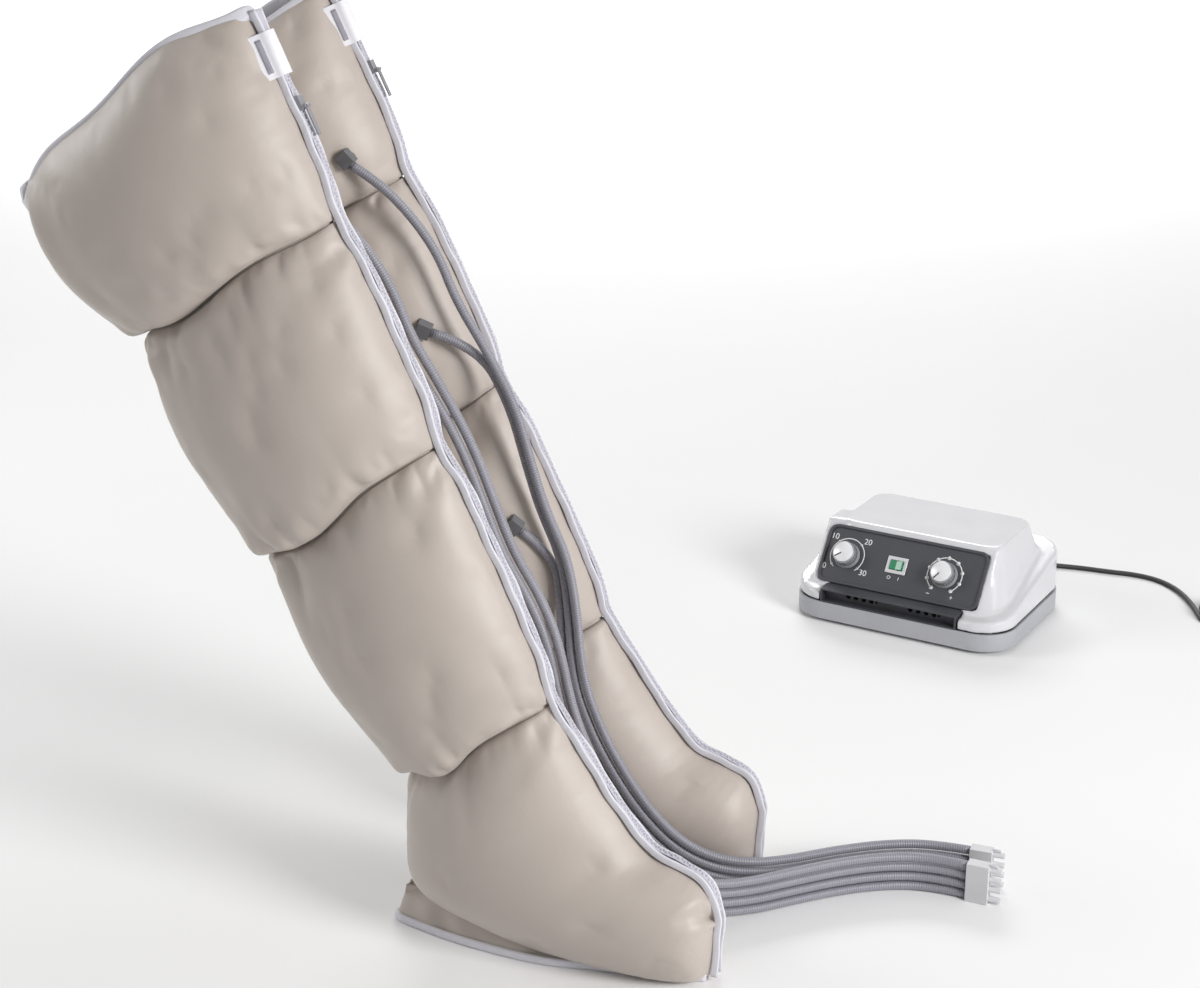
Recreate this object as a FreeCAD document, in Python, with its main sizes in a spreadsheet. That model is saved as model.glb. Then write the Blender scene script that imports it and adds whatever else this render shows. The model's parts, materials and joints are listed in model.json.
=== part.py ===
import FreeCAD, Part
import math
import os
from types import SimpleNamespace

import Sketcher
from FreeCAD import Placement, Rotation, Vector

# Pair of inflated compression boots with their hoses, control unit and mains lead.
# Millimetres and degrees. +Z is up, and both boots point along +X.

doc = FreeCAD.newDocument("compression_boots")

# Driving sizes, one group for each piece or group of pieces

layout_sizes = {
    "set_shift_x": 128.0,
    "set_shift_y": -494.0,
    "left_boot_x": -23.0,
    "left_boot_y": 205.0,
    "left_boot_yaw": 4.0,
    "console_x": 141.0,
    "console_y": 934.0,
    "console_yaw": -10.0,
}

fit_sizes = {
    "cut_overrun": 2.0,
    "seat_gap": 0.3,
    "running_gap": 0.05,
}

# Leg sections are measured from the straight front seam: how far up it, how wide, how thick, how tilted
boot_sizes = {
    "front_lean": 24.7,
    "ankle_front_x": -4.0,
    "ankle_front_z": 257.0,
    "hem_up": 663.0,
    "hem_width": 300.0,
    "hem_half": 34.0,
    "hem_tilt": 35.0,
    "hem_wall": 3.0,
    "thigh_top_up": 640.0,
    "thigh_top_width": 292.0,
    "thigh_top_half": 50.0,
    "thigh_top_tilt": 34.5,
    "thigh_crown_width": 302.0,
    "thigh_crown_half": 75.0,
    "crease_one_up": 473.0,
    "crease_one_width": 228.0,
    "crease_one_half": 54.0,
    "crease_one_tilt": 31.0,
    "knee_crown_width": 250.0,
    "knee_crown_half": 69.0,
    "crease_two_up": 255.0,
    "crease_two_width": 214.0,
    "crease_two_half": 50.0,
    "crease_two_tilt": 35.0,
    "calf_crown_width": 216.0,
    "calf_crown_half": 62.0,
    "crease_three_up": 0.0,
    "crease_three_width": 170.0,
    "crease_three_half": 44.0,
    "crease_three_tilt": 32.0,
    "chamber_wall": 11.0,
    "foot_wall": 19.0,
    "foot_length": 320.0,
    "foot_half": 56.0,
    "sole_thickness": 3.0,
    "sole_half_width": 40.0,
    "sole_end_half_width": 14.0,
}

trim_sizes = {
    "top_binding_thickness": 6.0,
    "top_binding_height": 5.0,
    "zip_web_half": 2.0,
    "zip_web_out": 7.0,
    "zip_tape_half": 8.0,
    "zip_tape_thickness": 1.6,
    "zip_coil_half": 2.4,
    "zip_coil_height": 2.0,
    "binding_thickness": 4.0,
    "binding_depth": 7.0,
    "tab_length": 42.0,
    "tab_thickness": 1.6,
    "tab_drop": 20.0,
    "tab_depth": 24.0,
    "slider_drop": 80.0,
    "slider_length": 13.0,
    "slider_half": 4.6,
    "slider_roof": 2.0,
    "slider_gap": 0.35,
    "slider_ear": 1.4,
    "slider_stop": 46.0,
    "pull_pin_radius": 0.9,
    "pull_ring_radius": 2.0,
    "pull_length": 27.0,
    "pull_half": 2.6,
    "pull_thickness": 1.4,
}

hose_sizes = {
    "hose_diameter": 9.0,
    "hose_pitch": 10.5,
    "port_setback": 30.0,
    "port_stem_radius": 6.0,
    "port_stem_out": 6.0,
    "port_block": 14.0,
    "port_block_depth": 11.0,
    "thigh_port_up": 513.0,
    "knee_port_up": 340.0,
    "calf_port_up": 132.0,
    "foot_port_x": -30.0,
    "foot_port_z": 150.0,
    "plug_length": 22.0,
    "plug_thickness": 13.0,
    "plug_margin": 4.6,
    "nipple_radius": 3.0,
    "nipple_length": 12.0,
    "peg_radius": 1.5,
    "peg_length": 8.0,
}

console_sizes = {
    "console_width": 290.0,
    "console_depth": 225.0,
    "console_corner": 46.0,
    "console_height": 114.0,
    "casing_wall": 3.0,
    "foot_pad_height": 5.0,
    "foot_pad_radius": 9.0,
    "base_height": 22.0,
    "band_front_height": 12.0,
    "band_back_height": 58.0,
    "band_inset": 1.5,
    "core_inset": 9.0,
    "plateau_width": 214.0,
    "plateau_front_inset": 71.5,
    "plateau_back_inset": 31.5,
    "plateau_corner": 22.0,
    "panel_tilt": 54.0,
    "panel_width": 212.0,
    "panel_height": 72.0,
    "panel_corner": 11.0,
    "panel_thickness": 2.4,
    "panel_ledge": 6.0,
    "panel_frame": 9.0,
    "wedge_x": -9.0,
    "wedge_setback": 20.5,
    "wedge_bottom": 40.0,
    "wedge_reach": 92.0,
    "boss_radius": 5.0,
    "boss_inset": 30.0,
    "screw_radius": 2.0,
    "screw_clearance": 0.2,
    "screw_head_radius": 3.6,
    "screw_head_height": 2.4,
}

control_sizes = {
    "timer_offset": -76.0,
    "rocker_offset": -8.0,
    "pressure_offset": 56.0,
    "knob_radius": 14.5,
    "knob_skirt_radius": 17.0,
    "knob_skirt_height": 5.0,
    "knob_height": 17.0,
    "knob_chamfer": 1.6,
    "knob_gap": 0.6,
    "knob_rib_radius": 0.8,
    "knob_rib_count": 36,
    "stem_radius": 3.0,
    "stem_length": 12.0,
    "panel_hole_gap": 0.8,
    "timer_body_radius": 18.0,
    "timer_body_depth": 26.0,
    "valve_body_radius": 13.0,
    "valve_body_depth": 30.0,
    "rocker_width": 17.0,
    "rocker_height": 12.0,
    "rocker_tilt": 8.0,
    "rocker_rise": 2.6,
    "rocker_depth": 6.5,
    "rocker_gap": 0.5,
    "rocker_pin_radius": 1.2,
    "bezel_border": 2.6,
    "bezel_height": 1.6,
    "switch_wall": 1.8,
    "switch_depth": 20.0,
}

socket_sizes = {
    "bay_width": 182.0,
    "bay_x": -9.0,
    "bay_height": 18.0,
    "bay_recess": 12.0,
    "bay_wall": 2.0,
    "socket_block_depth": 28.0,
    "socket_radius": 3.2,
    "socket_depth": 12.0,
    "socket_group_gap": 84.0,
    "socket_rise": 9.0,
    "peg_hole_radius": 1.7,
}

inside_sizes = {
    "pump_length": 104.0,
    "pump_width": 64.0,
    "pump_height": 50.0,
    "pump_x": -52.0,
    "pump_y": 40.0,
    "pump_slot_width": 30.0,
    "pump_slot_height": 24.0,
    "armature_length": 60.0,
    "armature_side_gap": 1.0,
    "armature_travel": 1.5,
    "pump_head_radius": 20.0,
    "pump_head_length": 9.0,
    "distributor_radius": 26.0,
    "distributor_height": 16.0,
    "distributor_x": 72.0,
    "distributor_y": 45.0,
    "rotor_radius": 20.0,
    "rotor_height": 6.0,
    "rotor_gap": 0.6,
    "rotor_stem_radius": 3.0,
    "motor_radius": 23.0,
    "motor_height": 18.0,
    "board_length": 92.0,
    "board_width": 44.0,
    "board_thickness": 1.6,
    "board_x": 12.0,
    "board_y": -38.0,
    "board_post_height": 6.0,
    "board_post_radius": 3.0,
}

lead_sizes = {
    "lead_diameter": 6.4,
    "lead_x": 60.0,
    "lead_z": 17.0,
    "relief_length": 34.0,
    "relief_radius": 7.0,
    "relief_tip_radius": 4.6,
    "relief_flange_radius": 9.5,
    "relief_flange_length": 3.0,
    "coil_radius": 48.0,
    "coil_pitch": 7.0,
    "coil_turns": 3,
    "coil_tail": 42.0,
    "floor_gap": 0.1,
    "tie_width": 9.0,
    "tie_thickness": 1.2,
    "plug_body_length": 36.0,
    "plug_body_width": 34.0,
    "plug_body_height": 19.0,
    "plug_neck_length": 14.0,
    "plug_neck_radius": 6.0,
    "pin_radius": 2.0,
    "pin_length": 19.0,
    "pin_spacing": 19.0,
}

# Shares chosen by hand: where the sections of a chamber lie, and how far each swells towards its crown
chamber_place_shares = (0.0, 0.14, 0.5, 0.86, 1.0)
chamber_swell_shares = (0.0, 0.72, 1.0, 0.72, 0.0)
oval_end_share = 0.55

# How much of each run beside a corner of a cord its bend takes up
bend_share = 0.45

# Foot sections: top and bottom point as shares of the foot's length ahead of its middle and of the ankle's height,
# and half thickness as a share of the foot's
foot_section_shares = (
    (0.075, 0.800, -0.515, 0.400, 0.96),
    (0.165, 0.635, -0.505, 0.130, 0.99),
    (0.270, 0.475, -0.300, -0.040, 0.97),
    (0.365, 0.425, 0.060, -0.040, 0.94),
    (0.440, 0.370, 0.300, -0.040, 0.84),
    (0.472, 0.270, 0.425, -0.020, 0.58),
)

# Front seam over the foot, as the same shares: instep, toe and toe tip
foot_seam_shares = (
    (0.075, 0.800),
    (0.165, 0.635),
    (0.270, 0.480),
    (0.365, 0.430),
    (0.440, 0.375),
    (0.476, 0.270),
    (0.480, 0.060),
)

# Hose ribbon down the leg: distance up the front seam, ahead of it, and towards the other leg,
# with the step to the next hose in the same three directions
leg_ribbon = (
    (478.0, -19.0, 50.0, -8.0, -6.5, 0.0),
    (440.0, -4.0, 48.0, -8.0, -6.5, 0.0),
    (396.0, 5.0, 47.0, -8.0, -6.5, 0.0),
    (350.0, 2.0, 47.0, -8.0, -6.5, 0.0),
    (300.0, 9.0, 48.0, -8.0, -6.5, 0.0),
    (238.0, 14.0, 49.0, -8.0, -6.5, 0.0),
    (180.0, 7.0, 50.0, -8.0, -6.5, 0.0),
    (132.0, 2.0, 50.0, -8.0, -6.5, 0.0),
    (84.0, 5.0, 52.0, -8.4, -6.0, 0.0),
    (38.0, -2.0, 58.0, -9.5, -4.0, 0.0),
)

# The same ribbon over the ankle and on the floor, in x, towards the other leg, and z, with its step
ankle_ribbon = (
    (-12.0, 65.0, 215.0, -9.8, -1.0, -3.4),
    (8.0, 69.0, 165.0, -9.6, -0.3, -4.2),
    (30.0, 70.0, 125.0, -8.6, 0.0, -6.0),
    (56.0, 71.0, 88.0, -7.2, 0.0, -7.6),
    (88.0, 73.0, 58.0, -4.8, 0.0, -9.3),
)
right_floor_ribbon = (
    (120.0, 91.0, 42.0, -1.6, 0.0, -10.4),
    (150.0, 120.0, 37.0, 0.0, 0.0, -10.5),
    (182.0, 152.0, 36.4, 0.0, 0.0, -10.5),
    (219.0, 186.0, 36.4, 0.0, 0.0, -10.5),
    (260.0, 214.0, 36.4, 0.0, 0.0, -10.5),
    (302.0, 228.0, 36.4, 0.0, 0.0, -10.5),
    (340.0, 225.0, 36.4, 0.0, 0.0, -10.5),
)
left_floor_ribbon = (
    (122.0, 71.0, 42.0, -1.6, 0.0, -10.4),
    (160.0, 62.0, 37.0, 0.0, 0.0, -10.5),
    (196.0, 41.0, 36.4, 0.0, 0.0, -10.5),
    (235.0, 11.0, 36.4, 0.0, 0.0, -10.5),
    (280.0, -15.0, 36.4, 0.0, 0.0, -10.5),
    (325.0, -28.0, 36.4, 0.0, 0.0, -10.5),
    (362.0, -25.0, 36.4, 0.0, 0.0, -10.5),
)

# Lead from the strain relief along the floor, in the control unit's own x, y, z
lead_route = (
    (60.0, 164.0, 17.0),
    (63.0, 182.0, 12.5),
    (74.0, 199.0, 6.3),
    (97.0, 213.0, 3.3),
    (130.0, 222.0, 3.3),
    (164.0, 227.0, 3.3),
    (198.0, 235.0, 3.3),
    (230.0, 232.0, 3.3),
    (257.0, 216.0, 3.3),
    (278.0, 194.0, 3.3),
    (295.0, 170.0, 3.3),
    (309.0, 146.0, 3.3),
)


class Size(float):
    """A number that keeps the sheet expression it came from."""

    def __new__(cls, value, text):
        number = super().__new__(cls, value)
        number.text = text
        return number

    def joined(self, sign, other, value, swapped=False):
        words = getattr(other, "text", str(float(other)))
        pair = (words, self.text) if swapped else (self.text, words)
        return Size(value, f"({pair[0]} {sign} {pair[1]})")

    def __add__(self, other):
        return self.joined("+", other, float(self) + float(other))

    def __radd__(self, other):
        return self.joined("+", other, float(other) + float(self), True)

    def __sub__(self, other):
        return self.joined("-", other, float(self) - float(other))

    def __rsub__(self, other):
        return self.joined("-", other, float(other) - float(self), True)

    def __mul__(self, other):
        return self.joined("*", other, float(self) * float(other))

    def __rmul__(self, other):
        return self.joined("*", other, float(other) * float(self), True)

    def __truediv__(self, other):
        return self.joined("/", other, float(self) / float(other))

    def __neg__(self):
        return Size(-float(self), f"(-{self.text})")


def fill_sheet(groups):
    sheet = doc.addObject("Spreadsheet::Sheet", "sizes")
    row = 0
    for group in groups:
        for name, value in group.items():
            row += 1
            sheet.set(f"A{row}", name)
            sheet.set(f"B{row}", str(value))
            sheet.setAlias(f"B{row}", name)
    doc.recompute()
    names = [name for group in groups for name in group]
    return SimpleNamespace(**{name: Size(float(sheet.get(name)), f"sizes.{name}") for name in names})


s = fill_sheet((layout_sizes, fit_sizes, boot_sizes, trim_sizes, hose_sizes, console_sizes, control_sizes,
                socket_sizes, inside_sizes, lead_sizes))

nodes = []
right = Vector(1, 0, 0)
back = Vector(0, 1, 0)
up = Vector(0, 0, 1)
home = Placement()


# Helpers: bound primitives, booleans, sketched bodies and finished nodes

def bind(thing, **sizes):
    for name, value in sizes.items():
        if isinstance(value, Size):
            thing.setExpression(name, value.text)
        else:
            setattr(thing, name, value)
    return thing


def at(x=0.0, y=0.0, z=0.0, turn=None):
    return Placement(Vector(float(x), float(y), float(z)), turn or Rotation())


def block(name, length, width, height, place=home, centred="xy"):
    thing = bind(doc.addObject("Part::Box", name), Length=length, Width=width, Height=height)
    shift = Vector(-length / 2 if "x" in centred else 0, -width / 2 if "y" in centred else 0,
                   -height / 2 if "z" in centred else 0)
    thing.Placement = place * Placement(shift, Rotation())
    return thing


def rod(name, radius, height, place=home):
    thing = bind(doc.addObject("Part::Cylinder", name), Radius=radius, Height=height)
    thing.Placement = place
    return thing


def cone(name, low_radius, high_radius, height, place=home):
    thing = bind(doc.addObject("Part::Cone", name), Radius1=low_radius, Radius2=high_radius, Height=height)
    thing.Placement = place
    return thing


def fuse(name, *pieces):
    thing = doc.addObject("Part::MultiFuse", name)
    thing.Shapes = list(pieces)
    thing.Refine = True
    return thing


def cut(name, base, *tools):
    thing = doc.addObject("Part::Cut", name)
    thing.Base = base
    thing.Tool = tools[0] if len(tools) == 1 else fuse(name + "_tools", *tools)
    return thing


def group(name, *pieces):
    thing = doc.addObject("Part::Compound", name)
    thing.Links = list(pieces)
    return thing


def feature(name, shape):
    thing = doc.addObject("Part::Feature", name)
    thing.Shape = shape
    return thing


def node(label, thing, frame):
    doc.recompute()
    thing.Placement = frame * thing.Placement
    thing.Label = label
    nodes.append(thing)
    return thing


def origin_plane(body, role):
    return next(part for part in body.Origin.OriginFeatures if part.Role == role)


def hold_point(sketch, line, spot, u, v):
    for kind, axis, value in (("DistanceX", -2, u), ("DistanceY", -1, v)):
        if value == 0:
            sketch.addConstraint(Sketcher.Constraint("PointOnObject", line, spot, axis))
            continue
        ends = (-1, 1, line, spot) if value > 0 else (line, spot, -1, 1)
        number = sketch.addConstraint(Sketcher.Constraint(kind, *ends, abs(float(value))))
        if isinstance(value, Size):
            sketch.setExpression(f"Constraints[{number}]", value.text if value > 0 else (-value).text)


def sketch_on(body, role, name):
    sketch = body.newObject("Sketcher::SketchObject", name)
    sketch.AttachmentSupport = [(origin_plane(body, role), "")]
    sketch.MapMode = "FlatFace"
    return sketch


def outline(body, role, name, points):
    sketch = sketch_on(body, role, name)
    count = len(points)
    spots = [Vector(float(u), float(v), 0) for u, v in points]
    for i in range(count):
        sketch.addGeometry(Part.LineSegment(spots[i], spots[(i + 1) % count]), False)
    for i in range(count):
        sketch.addConstraint(Sketcher.Constraint("Coincident", i, 2, (i + 1) % count, 1))
    for i, (u, v) in enumerate(points):
        hold_point(sketch, i, 1, u, v)
    return sketch


def disc(body, role, name, radius, u=0.0, v=0.0):
    sketch = sketch_on(body, role, name)
    sketch.addGeometry(Part.Circle(Vector(float(u), float(v), 0), up, float(radius)), False)
    number = sketch.addConstraint(Sketcher.Constraint("Radius", 0, float(radius)))
    if isinstance(radius, Size):
        sketch.setExpression(f"Constraints[{number}]", radius.text)
    hold_point(sketch, 0, 3, u, v)
    return sketch


def new_body(name):
    return doc.addObject("PartDesign::Body", name)


def pad(body, sketch, length, midplane=False, downwards=False):
    thing = body.newObject("PartDesign::Pad", sketch.Name + "_pad")
    thing.Profile = sketch
    thing.Midplane = midplane
    thing.Reversed = downwards
    return bind(thing, Length=length)


def pocket(body, sketch, length, midplane=False, upwards=False):
    thing = body.newObject("PartDesign::Pocket", sketch.Name + "_pocket")
    thing.Profile = sketch
    thing.Midplane = midplane
    thing.Reversed = upwards
    return bind(thing, Length=length)


def spin(body, sketch, axis="V_Axis"):
    thing = body.newObject("PartDesign::Revolution", sketch.Name + "_spin")
    thing.Profile = sketch
    thing.ReferenceAxis = (sketch, [axis])
    thing.Angle = 360
    return thing


def turned(name, profile):
    # a body of revolution about z, from points of radius and height
    body = new_body(name)
    spin(body, outline(body, "XZ_Plane", name + "_profile", profile))
    return body


# Soft forms: ovals of four arcs, lofted

def arc(start, middle, end):
    return Part.Arc(start, middle, end).toShape()


def oval(centre, ahead, reach, half):
    # four tangent arcs, the long way along ahead and the short way across the boot
    end_radius = oval_end_share * half
    side_radius = ((reach - end_radius) ** 2 + half ** 2 - end_radius ** 2) / (2 * (half - end_radius))
    angle = math.atan2(side_radius - half, reach - end_radius)

    def spot(u, v):
        return centre + ahead * float(u) + back * float(v)

    u_end = reach - end_radius
    join_u = u_end + end_radius * math.cos(angle)
    join_v = end_radius * math.sin(angle)
    front, rear = spot(reach, 0), spot(-reach, 0)
    near, far = spot(0, -half), spot(0, half)
    joins = [spot(join_u, join_v), spot(-join_u, join_v), spot(-join_u, -join_v), spot(join_u, -join_v)]
    edges = [arc(joins[3], front, joins[0]), arc(joins[0], far, joins[1]),
             arc(joins[1], rear, joins[2]), arc(joins[2], near, joins[3])]
    return Part.Wire(edges)


def seam_point(height, ahead=0.0):
    lean = math.radians(s.front_lean)
    x = s.ankle_front_x - height * math.sin(lean) + ahead * math.cos(lean)
    z = s.ankle_front_z + height * math.cos(lean) + ahead * math.sin(lean)
    return Vector(float(x), 0, float(z))


def leg_oval(height, width, half, tilt, inset=0.0):
    ahead = Vector(math.cos(math.radians(tilt)), 0, math.sin(math.radians(tilt)))
    centre = seam_point(height) - ahead * float(width / 2)
    return oval(centre, ahead, float(width / 2 - inset), float(half - inset))


def between(low, high, share):
    return low + (high - low) * share


def leg_stations():
    names = ("thigh_top", "crease_one", "crease_two", "crease_three")
    return [[float(getattr(s, f"{name}_{key}")) for key in ("up", "width", "half", "tilt")] for name in names]


def leg_section(upper, lower, crown, share, swell):
    height, width, half, tilt = (between(a, b, share) for a, b in zip(upper, lower))
    return height, between(width, crown[0], swell), between(half, crown[1], swell), tilt


def chamber_shape(upper, lower, crown):
    sections = [leg_section(upper, lower, crown, share, swell)
                for share, swell in zip(chamber_place_shares, chamber_swell_shares)]
    outside = Part.makeLoft([leg_oval(*section) for section in sections], True)
    inside = Part.makeLoft([leg_oval(*end, inset=s.chamber_wall) for end in (upper, lower)], True)
    return outside.cut(inside)


def hem_shape():
    # the flat margin above the thigh chamber, thin walled and set just inside the chamber's top
    low = leg_stations()[0]
    high = [s.hem_up, s.hem_width, s.hem_half, s.hem_tilt]
    outside = Part.makeLoft([leg_oval(*low, inset=s.hem_wall), leg_oval(*high)], True)
    inside = Part.makeLoft([leg_oval(*low, inset=2 * s.hem_wall), leg_oval(*high, inset=s.hem_wall)], True)
    return outside.cut(inside)


def foot_point(x_share, z_share):
    return Vector(float(x_share * s.foot_length), 0, float(z_share * s.ankle_front_z))


def foot_ovals(inset, count):
    ends = [(foot_point(a, b), foot_point(c, d), float(share * s.foot_half))
            for a, b, c, d, share in foot_section_shares[:count]]
    wires = []
    for top, bottom, half in ends:
        ahead = (top - bottom).normalize()
        centre = (top + bottom) * 0.5
        reach = top.distanceToPoint(bottom) / 2
        wires.append(oval(centre, ahead, reach - inset, half - inset))
    return wires


def under_floor(height):
    # a slab that takes away what lies below a level, larger than a boot
    span = float(s.foot_length + s.hem_up)
    return Part.makeBox(2 * span, 2 * span, span, Vector(-span, -span, float(height) - span))


def foot_shape():
    ankle = leg_stations()[-1]
    outside = Part.makeLoft([leg_oval(*ankle)] + foot_ovals(0.0, len(foot_section_shares)), True)
    inner_wires = [leg_oval(*ankle, inset=s.chamber_wall)] + foot_ovals(s.foot_wall, len(foot_section_shares) - 1)
    inside = Part.makeLoft(inner_wires, True)
    return outside.cut(inside).cut(under_floor(s.sole_thickness))


def front_path():
    return [seam_point(s.hem_up), seam_point(0.0)] + [foot_point(x, z) for x, z in foot_seam_shares]


def shifted(path, distance):
    # the path moved outwards in its own plane, mitred at its corners
    moved = []
    for i, spot in enumerate(path):
        runs = [path[j + 1] - path[j] for j in (i - 1, i) if 0 <= j < len(path) - 1]
        normals = [Vector(-run.z, 0, run.x).normalize() for run in runs]
        mean = sum(normals, Vector()).normalize()
        moved.append(spot + mean * (float(distance) / mean.dot(normals[0])))
    return moved


def strip(path, inner, outer, low, high):
    # a band along the seam from inner to outer, and across the boot from low to high
    spots = shifted(path, inner) + shifted(path, outer)[::-1]
    face = Part.Face(Part.makePolygon(spots + spots[:1]))
    face.translate(back * float(low))
    return face.extrude(back * float(high - low))


def sole_wire(grow=0.0):
    # heel and toe lines joined by an outward arc along each side
    heel = -s.foot_length / 2 - grow
    toe = s.foot_length / 2 + grow
    end = s.sole_end_half_width + grow
    side = s.sole_half_width + grow
    spots = [Vector(float(x), float(y), 0) for x, y in ((heel, -end), (toe, -end), (toe, end), (heel, end))]
    near = arc(spots[0], Vector(0, -float(side), 0), spots[1])
    far = arc(spots[2], Vector(0, float(side), 0), spots[3])
    ends = [Part.LineSegment(spots[i], spots[(i + 1) % 4]).toShape() for i in (1, 3)]
    return Part.Wire([near, ends[0], far, ends[1]])


# Boots: everything in the boot's own frame, the other leg lying towards side * y

def boot_frame(left):
    shift = Vector(float(s.set_shift_x), float(s.set_shift_y), 0)
    if not left:
        return Placement(shift, Rotation())
    place = Vector(float(s.left_boot_x), float(s.left_boot_y), 0)
    return Placement(shift + place, Rotation(up, float(s.left_boot_yaw)))


def build_chambers(name, frame):
    stations = leg_stations()
    crowns = [(s.thigh_crown_width, s.thigh_crown_half), (s.knee_crown_width, s.knee_crown_half),
              (s.calf_crown_width, s.calf_crown_half)]
    shapes = [chamber_shape(stations[i], stations[i + 1], crowns[i]) for i in range(3)]
    shapes[0] = shapes[0].fuse(hem_shape())
    shapes.append(foot_shape())
    for part, shape in zip(("thigh", "knee", "calf", "foot"), shapes):
        node(f"{name}_{part}_chamber", feature(f"{name}_{part}", shape), frame)
    return shapes


def build_trim(name, frame, chambers):
    rim = [s.hem_up, s.hem_width, s.hem_half, s.hem_tilt]
    spread = (s.top_binding_thickness - s.hem_wall) / 2
    ring = Part.Face(leg_oval(*rim, inset=-spread)).cut(Part.Face(leg_oval(*rim, inset=s.hem_wall + spread)))
    tilt = math.radians(s.hem_tilt)
    rise = Vector(-math.sin(tilt), 0, math.cos(tilt)) * float(s.top_binding_height)
    node(f"{name}_top_binding", feature(f"{name}_rim", ring.extrude(rise)), frame)

    path = front_path()
    zip_path = path[:-1]
    web = strip(zip_path, s.seat_gap, s.zip_web_out, -s.zip_web_half, s.zip_web_half)
    tape_top = s.zip_web_out + s.zip_tape_thickness
    tape = strip(zip_path, s.zip_web_out, tape_top, -s.zip_tape_half, s.zip_tape_half)
    coil = strip(zip_path, tape_top, tape_top + s.zip_coil_height, -s.zip_coil_half, s.zip_coil_half)
    web = max(web.cut(chambers[-1]).Solids, key=lambda solid: solid.Volume)
    node(f"{name}_zip_tape", feature(f"{name}_zip", web.fuse([tape, coil]).removeSplitter()), frame)

    low, high = s.zip_tape_half, s.zip_tape_half + s.binding_thickness
    bindings = [strip(path, tape_top - s.binding_depth, tape_top, a, b) for a, b in ((low, high), (-high, -low))]
    for chamber in chambers:
        bindings = [binding.cut(chamber) for binding in bindings]
    bindings = [max(binding.Solids, key=lambda solid: solid.Volume) for binding in bindings]
    edge = Part.Face(sole_wire(s.binding_thickness)).cut(Part.Face(sole_wire()))
    sole_edge = edge.extrude(up * float(s.sole_thickness + s.tab_thickness))
    sole_edge = sole_edge.cut(chambers[-1])
    for binding in bindings:
        sole_edge = sole_edge.cut(binding)
    sole_edge = max(sole_edge.Solids, key=lambda solid: solid.Volume)
    node(f"{name}_edge_binding", feature(f"{name}_edges", Part.Compound(bindings + [sole_edge])), frame)

    sole = Part.Face(sole_wire()).extrude(up * float(s.sole_thickness))
    for binding in bindings:
        sole = sole.cut(binding)
    node(f"{name}_sole_margin", feature(f"{name}_sole", sole), frame)


def seam_turn():
    # x runs down the zip, y across it and z away from it
    return Rotation(back, 90.0 - float(s.front_lean))


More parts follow.
